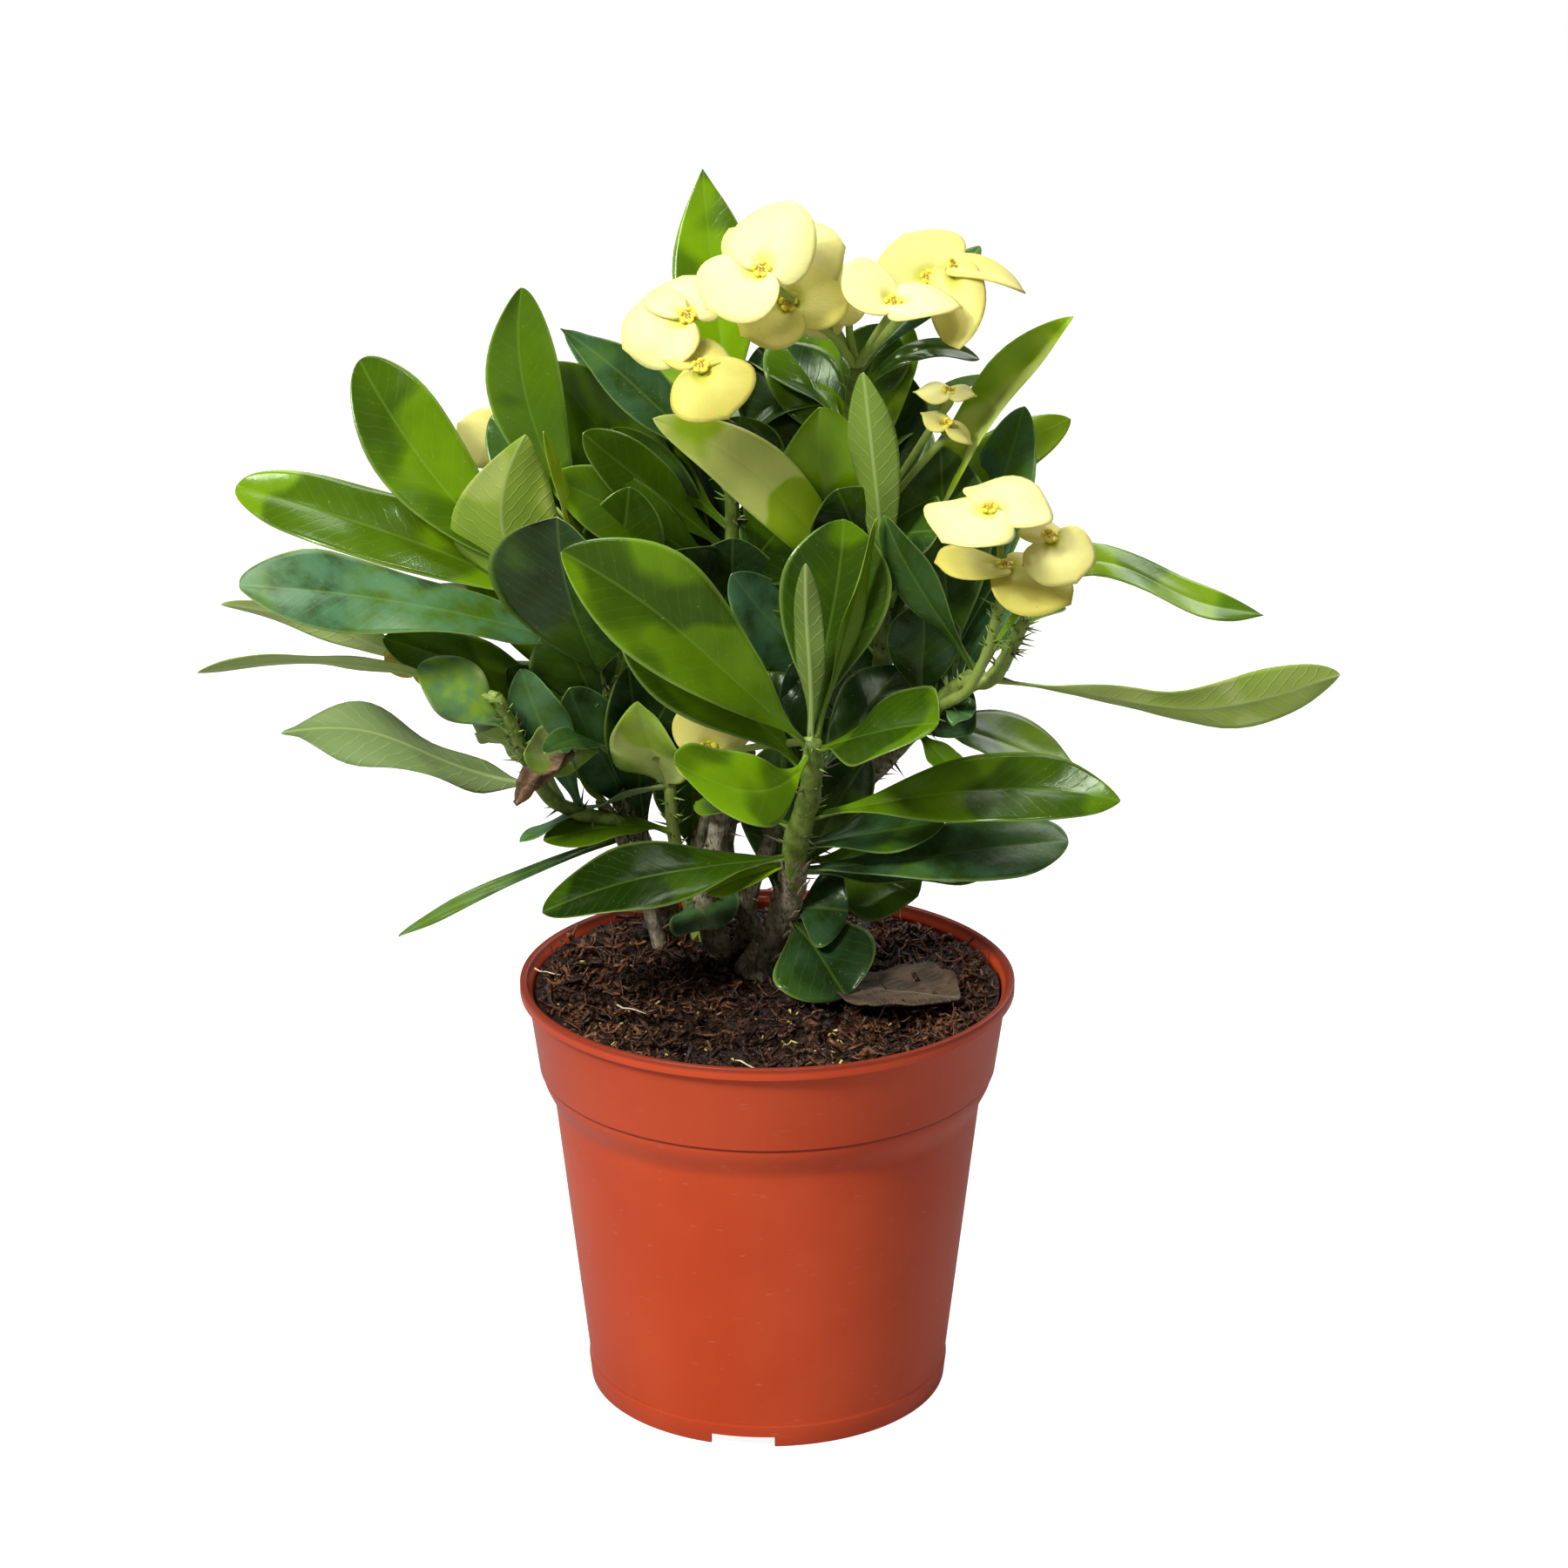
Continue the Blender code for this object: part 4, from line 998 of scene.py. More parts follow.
leafPlan = {
    "front_leaf_1": leafRow("front_stem", 0.97, (-58, -15, 52), 29, (0.2, -0.8, 0.6), (0.36, 0.2, 0.0),
        arch=0.08, fold=16, taper=1.3),
    "front_leaf_2": leafRow("front_stem", 0.86, (-44, -8, 42), 27, (0.2, -0.7, 0.7), (0.30, 0.1, 0.0),
        arch=0.05, fold=8, blunt=0.5),
    "front_leaf_3": leafRow("front_stem", 1.0, (7, 14, 50), 27, (-0.1, -1.0, 0.3), (0.32, 0.1, 0.0),
        arch=-0.03, fold=12),
    "front_leaf_4": leafRow("front_stem", 1.0, (-2, -10, 46), 8, (0.3, 1.0, 0.2), (0.38, 0.2, 0.1),
        fold=20, widest=0.5),
    "front_leaf_5": leafRow("front_stem", 0.95, (-32, -28, 7), 23, (-0.1, -0.75, 0.65), (0.50, 0.1, 0.0),
        bow=-0.22, fold=6),
    "front_leaf_6": leafRow("front_stem", 0.52, (-60, -17, -8), 22, (0.0, -0.4, 0.9), (0.10, 0.0, 0.0),
        arch=0.07, fold=5, widest=0.6, taper=1.1),
    "front_leaf_7": leafRow("front_stem", 0.27, (15, -19, -14), 28, (0.1, -0.7, 0.7), (0.08, 0.0, 0.15),
        arch=0.1, widest=0.6, blunt=0.5),
    "front_leaf_8": leafRow("front_stem", 0.69, (74, -19, 10), 21, (0.0, -0.6, 0.8), (0.34, 0.1, 0.0),
        arch=0.1, fold=6, blunt=0.72),
    "front_leaf_9": leafRow("front_stem", 0.47, (66, -3, 8), 22, (0.0, -0.4, 0.9), (0.26, 0.0, 0.55),
        widest=0.76, blunt=0.4, taper=1.0),
    "front_leaf_10": leafRow("front_stem", 0.97, (28, -31, 16), 27, (-0.2, -0.45, 0.85), (0.32, 0.1, 0.0),
        arch=0.03, fold=8),
    "left_leaf_1": leafRow("left_stem", 0.9, (-57, 18, 53), 23, (0.4, -0.9, 0.4), (0.40, 0.2, 0.0),
        bow=-0.10, fold=8, widest=0.7, blunt=0.5),
    "left_leaf_2": leafRow("left_stem", 0.83, (-87, 14, 31), 20, (0.1, -0.7, 0.7), (0.46, 0.3, 0.0),
        arch=0.07, fold=8, blunt=0.45, widest=0.66, taper=1.2),
    "left_leaf_3": leafRow("left_stem", 0.77, (-83, -26, 24), 24, (0.0, -0.5, 0.85), (0.22, 0.0, 0.8),
        arch=0.05, fold=4, blunt=0.42, widest=0.76, wave=1.3, taper=1.1),
    "left_leaf_4": leafRow("left_stem", 0.84, (-16, -16, 50), 27, (0.1, 0.9, 0.3), (0.86, 0.35, 0.0),
        bow=0.25, fold=10, widest=0.52, blunt=0.8),
    "left_leaf_5": leafRow("left_stem", 0.7, (-9, -35, 50), 38, (-0.3, -0.85, 0.55), (0.16, 0.0, 0.1),
        arch=0.06, fold=16, blunt=0.5),
    "left_leaf_6": leafRow("left_stem", 0.98, (-18, 8, 64), 18, (0.2, -1.0, 0.2), (0.30, 0.1, 0.05),
        bow=-0.09, fold=10),
    "left_leaf_7": leafRow("left_stem", 0.29, (-57, -26, -18), 4, (-0.2, -0.6, 0.75), (0.30, 1.0, 0.4),
        arch=0.05),
    "left_leaf_8": leafRow("left_stem", 0.62, (-44, 34, -1), 19, (-0.1, 0.3, 0.9), (0.4, 0.1, 0.1), arch=0.1),
    "branch_leaf_1": leafRow("left_branch", 0.48, (-60, -15, 18), 19, (-0.1, 0.55, -0.85), (0.42, 0.0, 1.0),
        arch=-0.06, twist=-14, widest=0.66, wave=2.2, taper=0.9, ripple=0.04),
    "branch_leaf_2": leafRow("left_branch", 0.92, (-69, 21, 20), 10, (0.2, 0.9, 0.5), (1.0, 0.1, 0.5),
        arch=0.08),
    "branch_leaf_3": leafRow("left_branch", 0.99, (-70, -8, 9), 14, (0.0, 0.5, 0.9), (1.0, 0.1, 0.6),
        arch=0.08),
    "back_leaf_1": leafRow("back_stem", 0.8, (-40, -3, 35), 14, (0.4, -0.9, 0.4), (0.24, 0.0, 0.4),
        arch=0.05, fold=12, widest=0.5, blunt=1.0),
    "back_leaf_2": leafRow("back_stem", 0.84, (-6, 25, 62), 20, (0.1, -1.0, 0.3), (0.50, 0.15, 0.0),
        bow=0.005, fold=8, widest=0.56, blunt=1.0),
    "back_leaf_3": leafRow("back_stem", 0.6, (-25, 25, 27), 19, (0.2, -0.2, 0.9), (0.35, 0.1, 0.1), arch=0.1),
    "back_leaf_4": leafRow("back_stem", 0.62, (-43, -28, 32), 18, (-0.2, -0.8, 0.6), (0.50, 0.1, 0.05),
        arch=0.05, fold=6),
    "centre_leaf_1": leafRow("centre_stem", 0.36, (-54, -30, 60), 17, (0.5, -0.9, 0.4), (0.90, 0.3, 0.0),
        bow=0.07, arch=0.05, fold=6, widest=0.6),
    "centre_leaf_2": leafRow("centre_stem", 0.44, (-15, -11, 50), 25, (0.0, -1.0, 0.1), (0.54, 0.15, 0.0),
        bow=-0.1, arch=0.02, fold=18),
    "centre_leaf_3": leafRow("centre_stem", 0.42, (-5, -22, 63), 12, (0.3, 1.0, 0.2), (0.42, 0.2, 0.0),
        arch=-0.04, bow=-0.03, fold=14),
    "centre_leaf_4": leafRow("centre_stem", 0.58, (6, 15, 39), 19, (-0.2, -1.0, 0.3), (0.16, 0.0, 0.1),
        fold=8),
    "centre_leaf_5": leafRow("centre_stem", 0.75, (-18, 25, 30), 21, (0.1, -0.9, 0.5), (0.46, 0.1, 0.0),
        fold=8),
    "centre_leaf_6": leafRow("centre_stem", 0.4, (45, 5, 72), 15, (-0.6, -0.8, 0.3), (0.84, 0.2, 0.0),
        arch=0.05, fold=42, widest=0.7, bow=-0.04),
    "centre_leaf_7": leafRow("centre_stem", 0.33, (15, 2, 48), 16, (-0.2, -1.0, 0.2), (0.30, 0.05, 0.2),
        fold=8),
    "centre_leaf_8": leafRow("centre_stem", 0.5, (10, 38, 29), 18, (-0.2, -0.2, 0.9), (0.35, 0.1, 0.1),
        arch=0.08),
    "right_leaf_1": leafRow("right_stem", 0.84, (21, 20, 69), 18, (-0.4, -1.0, 0.3), (0.18, 0.0, 0.5),
        fold=10),
    "right_leaf_2": leafRow("right_stem", 0.98, (70, 15, 10), 15, (0.1, -0.5, 0.85), (0.62, 0.15, 0.1),
        arch=0.38, fold=8, ripple=0.13, blunt=0.9, widest=0.6),
    "right_leaf_3": leafRow("right_stem", 0.97, (86, -13, 4), 16, (0.0, 0.35, 0.95), (1.0, 0.15, 0.2),
        arch=-0.09, twist=60, widest=0.74, ripple=0.035),
    "right_leaf_4": leafRow("right_stem", 0.25, (28, -14, -6), 25, (0.1, -0.7, 0.7), (0.42, 0.1, 0.1),
        arch=0.08),
    "right_leaf_5": leafRow("right_stem", 0.78, (40, 19, -20), 25, (0.2, -0.4, 0.9), (0.60, 0.2, 0.3),
        arch=0.01, widest=0.58, taper=1.1),
    # smaller leaves, and leaves that only show in part
    "slender_leaf_1": leafRow("slender_stem", 0.7, (-31, -21, 5), 11, (0.0, -0.45, 0.9), (0.50, 0.2, 0.0),
        arch=0.08),
    "slender_leaf_2": leafRow("slender_stem", 0.98, (-36, -17, -9), 10, (0.2, 0.6, 0.6), (0.5, 0.1, 0.9),
        arch=0.04, twist=40),
    "slender_leaf_3": leafRow("slender_stem", 0.98, (-7, -18, 27), 21, (-0.3, -0.8, 0.5), (1.0, 0.0, 0.3),
        arch=0.04, widest=0.42, blunt=0.8, fold=18, taper=0.8),
    "slender_leaf_4": leafRow("slender_stem", 0.31, (8, -27, 1), 19, (0.0, -0.8, 0.6), (0.10, 0.0, 0.6),
        widest=0.6),
    "front_leaf_11": leafRow("front_stem", 0.50, (-21, -6, -6), 8, (0.0, -0.5, 0.8), (0.55, 0.2, 0.0),
        arch=0.05),
    "front_leaf_12": leafRow("front_stem", 0.30, (15, -5, 1), 23, (0.0, -0.7, 0.7), (0.16, 0.0, 0.3),
        arch=0.1),
    "front_leaf_13": leafRow("front_stem", 0.46, (49, 13, -4), 15, (0.0, -0.3, 0.95), (0.30, 0.1, 0.4)),
    "front_leaf_14": leafRow("front_stem", 0.99, (15, 6, 53), 8, (0.8, -0.4, 0.2), (0.66, 0.4, 0.0),
        fold=14, widest=0.5),
    "front_leaf_15": leafRow("front_stem", 0.62, (-25, 23, 0), 12, (0.0, -0.4, 0.9), (0.45, 0.2, 0.0),
        arch=0.08),
    "right_leaf_6": leafRow("right_stem", 0.74, (10, -12, -8), 8, (0.0, -0.5, 0.8), (0.30, 0.1, 0.1)),
    "right_leaf_7": leafRow("centre_stem", 0.62, (49, 24, 20), 13, (-0.3, -0.9, 0.3), (0.62, 0.3, 0.0)),
    "right_leaf_8": leafRow("right_stem", 0.99, (-23, -10, 41), 11, (-0.5, -0.8, 0.2), (0.34, 0.1, 0.2),
        arch=0.05),
    "right_leaf_9": leafRow("right_stem", 0.9, (17, 12, 26), 18, (-0.6, -0.7, 0.3), (0.20, 0.0, 0.8)),
    "right_leaf_10": leafRow("right_stem", 0.86, (7, -8, -1), 8, (0.0, -0.7, 0.7), (0.3, 0.0, 0.6)),
    "right_leaf_11": leafRow("right_stem", 0.9, (-3, 10, 58), 24, (0.0, -1.0, 0.3), (0.22, 0.05, 0.2)),
    "centre_leaf_9": leafRow("centre_stem", 0.93, (30, 8, 7), 7, (0.0, -0.6, 0.8), (0.34, 0.1, 0.1),
        arch=0.32),
    "centre_leaf_10": leafRow("centre_stem", 0.99, (30, 27, 24), 9, (0.0, -0.8, 0.5), (0.18, 0.0, 0.3)),
    "centre_leaf_11": leafRow("centre_stem", 0.05, (-34, -21, 47), 18, (0.0, -0.8, 0.6), (0.25, 0.0, 0.95)),
    "centre_leaf_12": leafRow("centre_stem", 0.3, (-32, 9, 39), 24, (0.0, -1.0, 0.3), (0.26, 0.05, 0.1)),
    "centre_leaf_13": leafRow("centre_stem", 0.2, (-17, 2, 50), 24, (0.0, -1.0, 0.3), (0.14, 0.0, 0.1)),
    "centre_leaf_14": leafRow("centre_stem", 0.7, (-25, 22, 30), 27, (0.0, -1.0, 0.3), (0.12, 0.0, 0.2)),
    "left_leaf_9": leafRow("left_stem", 0.42, (-26, -13, 34), 15, (0.2, -0.8, 0.6), (0.12, 0.0, 0.6)),
    "left_leaf_10": leafRow("left_stem", 0.53, (-20, -24, 5), 13, (0.1, -0.8, 0.5), (0.98, 0.1, 0.6),
        twist=20),
    "left_leaf_11": leafRow("left_stem", 0.5, (-15, -32, 11), 9, (0.0, -0.5, 0.85), (0.18, 0.0, 0.3),
        arch=0.12),
    "left_leaf_12": leafRow("left_stem", 0.3, (-15, -20, 24), 7, (0.0, -0.5, 0.85), (0.60, 0.6, 0.1)),
    "left_leaf_13": leafRow("left_stem", 0.66, (-41, 17, 38), 13, (0.2, -0.8, 0.5), (0.18, 0.0, 0.1)),
    "left_leaf_14": leafRow("left_stem", 0.6, (-35, -1, 38), 9, (0.0, -0.8, 0.5), (0.50, 0.2, 0.0)),
    "left_leaf_15": leafRow("left_stem", 0.92, (-26, 24, 36), 15, (0.2, -0.9, 0.3), (0.14, 0.0, 0.2)),
    "left_leaf_16": leafRow("left_stem", 0.9, (-12, -11, 43), 6, (0.8, -0.5, 0.2), (0.75, 0.5, 0.0),
        widest=0.5),
    "branch_leaf_4": leafRow("left_branch", 0.8, (-22, -6, 18), 15, (0.1, -0.8, 0.5), (0.92, 0.0, 1.0),
        arch=0.1, wave=1.6),
    "branch_leaf_5": leafRow("left_branch", 0.55, (-14, 0, 10), 9, (0.4, 0.6, 0.6), (0.9, 0.1, 0.4),
        wave=1.5, arch=0.15),
    "back_leaf_5": leafRow("back_stem", 0.78, (-40, 16, 33), 12, (0.0, -0.6, 0.8), (0.28, 0.0, 0.7)),
    "back_leaf_6": leafRow("back_stem", 0.70, (-36, 7, 35), 19, (0.2, -0.9, 0.3), (0.44, 0.2, 0.0)),
    "back_leaf_7": leafRow("back_stem", 0.66, (-35, -21, 35), 15, (0.0, -0.8, 0.6), (0.42, 0.1, 0.0)),
    "back_leaf_8": leafRow("back_stem", 0.56, (-29, -9, 48), 20, (0.0, -0.9, 0.4), (0.18, 0.0, 0.1)),
    "back_leaf_9": leafRow("back_stem", 0.5, (0, -17, 32), 24, (0.0, -1.0, 0.4), (0.14, 0.0, 0.2)),
    "back_leaf_10": leafRow("back_stem", 0.55, (-17, 1, 45), 22, (0.0, -1.0, 0.4), (0.14, 0.0, 0.1)),
    "back_leaf_11": leafRow("back_stem", 0.60, (-45, -7, 57), 24, (0.2, -1.0, 0.3), (0.40, 0.1, 0.1), fold=8),
    "centre_leaf_15": leafRow("centre_stem", 0.72, (12, 14, 35), 9, (-0.4, -0.9, 0.3), (0.70, 0.2, 0.1)),
    "front_leaf_16": leafRow("front_stem", 0.56, (36, 4, 6), 15, (0.0, -0.5, 0.9), (0.20, 0.0, 0.3),
        taper=1.0),
    "back_leaf_12": leafRow("back_stem", 0.12, (-1, -6, 31), 20, (0.0, -1.0, 0.2), (0.12, 0.0, 0.3)),
    "right_leaf_12": leafRow("right_stem", 0.08, (0, 4, 44), 22, (0.0, -1.0, 0.2), (0.12, 0.0, 0.3)),
    "centre_leaf_16": leafRow("centre_stem", 0.85, (8, 15, 22), 17, (0.0, -1.0, 0.3), (0.30, 0.0, 0.1)),
    "left_leaf_17": leafRow("left_stem", 0.62, (-53, -10, 21), 17, (0.0, -0.6, 0.8), (0.42, 0.2, 0.1)),
    "branch_leaf_6": leafRow("left_branch", 0.30, (-24, -9, 27), 13, (0.3, 0.7, 0.6), (0.72, 0.1, 0.7),
        wave=1.8, arch=0.12),
    "branch_leaf_7": leafRow("left_branch", 0.20, (-13, -10, 40), 14, (-0.2, -0.9, 0.4), (0.16, 0.0, 0.7),
        wave=1.6, arch=0.06),
    # inside the bush, mostly in shadow; their dark tones are painted shade
    "inner_leaf_15": leafRow("front_stem", 0.80, (-10, 20, 23), 16, (0.1, -0.9, 0.4), (0.14, 0.0, 0.1)),
    "inner_leaf_16": leafRow("front_stem", 0.85, (22, 23, 20), 17, (-0.2, -0.8, 0.6), (0.16, 0.0, 0.2)),
    "inner_leaf_17": leafRow("right_stem", 0.25, (6, -23, 43), 17, (0.0, -0.9, 0.3), (0.14, 0.0, 0.2)),
    "inner_leaf_18": leafRow("left_stem", 0.30, (-14, -24, 44), 18, (0.1, -0.9, 0.4), (0.18, 0.0, 0.5)),
    "inner_leaf_19": leafRow("left_stem", 0.25, (-2, -24, 54), 16, (0.2, -0.9, 0.3), (0.12, 0.0, 0.2)),
    "inner_leaf_20": leafRow("right_stem", 0.20, (18, -22, 37), 16, (-0.2, -0.8, 0.5), (0.20, 0.1, 0.2)),
    "inner_leaf_1": leafRow("left_stem", 0.45, (20, -20, 34), 22, (0.0, -0.9, 0.4), (0.12, 0.0, 0.1)),
    "inner_leaf_2": leafRow("back_stem", 0.40, (13, -22, 30), 22, (0.1, -0.9, 0.4), (0.14, 0.0, 0.1)),
    "inner_leaf_3": leafRow("centre_stem", 0.05, (-20, -23, 25), 20, (-0.2, -0.9, 0.4), (0.12, 0.0, 0.4)),
    "inner_leaf_4": leafRow("right_stem", 0.60, (-12, -6, 36), 20, (0.2, -0.9, 0.3), (0.10, 0.0, 0.1)),
    "inner_leaf_5": leafRow("back_stem", 0.50, (-17, -25, 30), 24, (-0.1, -0.9, 0.5), (0.16, 0.0, 0.1)),
    "inner_leaf_6": leafRow("back_stem", 0.62, (13, -17, 18), 22, (0.1, -0.8, 0.6), (0.14, 0.0, 0.0)),
    "inner_leaf_7": leafRow("left_stem", 0.60, (-11, -17, 28), 22, (-0.2, -0.9, 0.4), (0.16, 0.0, 0.2)),
    "inner_leaf_8": leafRow("left_stem", 0.75, (7, -5, 44), 20, (0.2, -1.0, 0.2), (0.34, 0.2, 0.0)),
    "inner_leaf_9": leafRow("left_stem", 0.80, (-19, 3, 19), 18, (0.0, -0.8, 0.5), (0.12, 0.0, 0.1)),
    "inner_leaf_10": leafRow("back_stem", 0.75, (2, -11, 23), 22, (0.0, -0.9, 0.4), (0.18, 0.1, 0.0)),
    "inner_leaf_11": leafRow("centre_stem", 0.5, (-10, -14, 25), 20, (-0.1, -0.9, 0.4), (0.14, 0.0, 0.0)),
    "inner_leaf_12": leafRow("centre_stem", 0.6, (16, -15, 5), 20, (0.2, -0.8, 0.6), (0.12, 0.0, 0.1)),
    "inner_leaf_13": leafRow("right_stem", 0.8, (-2, -12, 32), 18, (0.0, -0.9, 0.3), (0.12, 0.0, 0.2)),
    "inner_leaf_14": leafRow("right_stem", 0.7, (15, -10, 15), 16, (0.2, -0.8, 0.5), (0.16, 0.0, 0.3)),
}

# leaves on the far side, in turns round each stem: stem, how many, from and to which share of its length
farLeaves = {
    "groups": (("back_stem", 9, 0.34, 0.93), ("left_stem", 5, 0.40, 0.88), ("right_stem", 5, 0.45, 0.95),
               ("centre_stem", 5, 0.25, 0.90)),
    "length": (44, 62), "width": (15, 22), "rise": (12, 34), "furthest": 68, "highest": 143,
}


def addFarLeaves():
    chance = random.Random(5)
    for stem, count, low, high in farLeaves["groups"]:
        for index in range(count):
            at = low + (high - low) * (index + 0.5) / count
            heading = math.radians(90 + (-1) ** index * chance.uniform(8, 66))
            length = chance.uniform(*farLeaves["length"])
            foot, _, _ = stemSpot(stem, at)
            rise = chance.uniform(*farLeaves["rise"])
            rise = min(rise, (soilLevel - foot.z) / mm + farLeaves["highest"])
            reach = [math.cos(heading) * length, math.sin(heading) * length, rise]
            reach[1] = min(reach[1], farLeaves["furthest"] - foot.y / mm)
            width = chance.uniform(*farLeaves["width"])
            face = (chance.uniform(-0.2, 0.2), chance.uniform(-0.1, 0.3), 0.95)
            arch = chance.uniform(0.05, 0.14)
            fold = chance.uniform(4, 12)
            tone = (chance.uniform(0.25, 0.6), chance.uniform(0, 0.3), chance.uniform(0, 0.3))
            name = f"far_{stem}_leaf_{index + 1}"
            leafPlan[name] = leafRow(stem, at, tuple(reach), width, face, tone, arch=arch, fold=fold)


def leafHalf(leaf, share):
    petiole = leafShape["petiole"]
    blade = max(share - petiole, 0.0) / (1 - petiole)
    widest = leaf.get("widest", leafShape["widest"])
    if blade < widest:
        wide = math.sin(blade / widest * math.pi / 2) ** leaf.get("taper", leafShape["taper"])
    else:
        wide = max(math.sin((1 - blade) / (1 - widest) * math.pi / 2), 0.0)
        wide = wide ** leaf.get("blunt", leafShape["blunt"])
    stalk = leafShape["petioleWide"] * (1 - 0.9 * share**5)
    return math.hypot(wide * leaf["width"], stalk) / 2 * mm


def shapeLeaf(bm, leaf, foot, reach, chance):
    # lays a flat grid out as the blade
    rows, columns = leafShape["rows"], leafShape["columns"]
    face = Vector(leaf["face"])
    face = (face - reach * face.dot(reach) / reach.length_squared).normalized()
    side = reach.normalized().cross(face)
    length = reach.length
    phase = chance.uniform(0, 1)
    waves = chance.uniform(1.2, 2.2)
    sway = chance.uniform(-0.012, 0.012)
    group = bm.verts.layers.deform.verify()
    bladeLayer = bm.verts.layers.float_vector.new("blade")
    toneLayer = bm.verts.layers.float_vector.new("tone")
    bmesh.ops.create_grid(bm, x_segments=rows, y_segments=columns, size=1.0)
    for vertex in bm.verts:
        share = 0.5 - 0.5 * math.cos((vertex.co.x + 1) / 2 * math.pi)
        across = -math.copysign(abs(vertex.co.y) ** 1.35, vertex.co.y)
        edge = abs(across)
        half = leafHalf(leaf, share)
        turn = math.radians(leaf.get("twist", 0.0)) * share
        sideways = side * math.cos(turn) + face * math.sin(turn)
        facing = face * math.cos(turn) - side * math.sin(turn)
        fold = math.radians(leaf.get("fold", leafShape["fold"]))
        fold += (math.radians(48) - fold) * math.exp(-share / 0.05)
        bulge = 4 * share * (1 - share) * length
        middle = foot + reach * share + bulge * leaf.get("arch", 0.0) * facing
        middle += (bulge * leaf.get("bow", 0.0) + length * sway * math.sin(share * 6)) * sideways
        middle += length * leaf.get("ripple", 0.0) * math.sin(share * math.tau) * facing
        vee = math.sqrt(edge * edge + 0.02) - 0.14
        wave = leaf.get("wave", leafShape["wave"]) * mm * edge**2 * min(half / (4 * mm), 1.0)
        wave *= math.sin(math.tau * (waves * share + phase + 0.2 * math.copysign(1, across)))
        dip = leafShape["dip"] * mm * math.exp(-(across * half / (0.75 * mm)) ** 2) * (1 - share**3)
        vertex[bladeLayer] = (share * length / mm, across * half / mm, edge)
        vertex[toneLayer] = leaf["tone"]
        stalk = math.exp(-share / 0.07)
        rim = 1 - (1 - leafShape["thinnest"]) * edge**3
        vertex[group][0] = min(1.0, 0.5 * rim * (1 - 0.45 * share) + stalk)
        vertex.co = middle + half * (across * math.cos(fold) * sideways + vee * math.sin(fold) * facing)
        # slow unevenness, so that reflections break up
        uneven = noise.noise(Vector((share * length / (13 * mm), across * half / (7 * mm), phase * 50)))
        vertex.co += (wave - dip + uneven * leafShape["uneven"] * mm * edge**0.5) * facing


def makeLeaf(name):
    leaf = leafPlan[name]
    chance = random.Random(name)
    middle, ahead, radius = stemSpot(leaf["stem"], leaf["at"])
    reach = Vector(leaf["reach"]) * mm
    outward = (reach - ahead * reach.dot(ahead)).normalized()
    foot = outward * radius * leafShape["footIn"]
    bm = bmesh.new()
    shapeLeaf(bm, leaf, middle + foot, reach - foot, chance)
    piece = addPiece(name + "_blade", bm, [leafTop, leafUnder], ownNode(name))
    piece.vertex_groups.new(name="thickness")
    thicken(piece, leafShape["thick"] * mm, "thickness", 1)


def makeLeaves():
    addFarLeaves()
    for name in leafPlan:
        makeLeaf(name)
    print("leaves made:", len(leafPlan))


# Dead leaves

dryPlan = {
    "fallen_leaf": dict(
        foot=(13, 2, 3.2), reach=(33, -17, 2.4), width=31, curl=14, crumple=1.3, skin=fallenSkin,
    ),
    "dried_leaf": dict(
        foot=(-46, 3, 62), reach=(-14, -4, -12), width=9, curl=75, crumple=1.7, skin=driedSkin,
    ),
}
dryThick = 0.45


def makeDryLeaves():
    for name, leaf in dryPlan.items():
        start = plantPoint(leaf["foot"])
        reach = Vector(leaf["reach"]) * mm
        side = reach.cross(worldUp).normalized()
        lift = side.cross(reach).normalized()
        curl = math.radians(leaf["curl"])
        bm = bmesh.new()
        bladeLayer = bm.verts.layers.float_vector.new("blade")
        bmesh.ops.create_grid(bm, x_segments=28, y_segments=16, size=1.0)
        for vertex in bm.verts:
            share, across = (vertex.co.x + 1) / 2, vertex.co.y
            half = max(1.6, leaf["width"] * max(math.sin(math.pi * share), 0.0) ** 0.8) / 2 * mm
            half *= 1 + 0.16 * noise.noise(Vector((share * 9, math.copysign(3, across), 7)))
            angle = across * curl * (0.6 + 0.7 * share)
            vertex[bladeLayer] = (share * reach.length / mm, across * half / mm, abs(across))
            flat = side * half * math.sin(angle) / math.sin(curl)
            flat = flat + lift * half * (1 - math.cos(angle)) / math.sin(curl)
            fold = noise.noise(Vector((share * 5, across * 2.5, 2))) * leaf["crumple"] * mm
            fold = fold * (0.3 + abs(across))
            vertex.co = start + reach * share + flat + lift * fold
        piece = addPiece(name + "_blade", bm, [leaf["skin"]], [name])
        thicken(piece, dryThick * mm)
    print("dead leaves made")


# Flower heads: stem it grows from, middle as (right, back, up from the mix) in mm, the way its cup looks, how
# deep its colour is (painted shade: heads in shadow are darkened and deepened), and its bracts, each as
# (the way it grows out, the way its upper side looks, length and width in mm, how far it bends down in
# degrees)
# Many of the places below were worked out by a helper program and copied in, not set by hand

flowerShape = {"thick": 0.9, "stalk": 0.95, "neck": 2.5, "rows": 10, "columns": 30, "behind": 0.30}

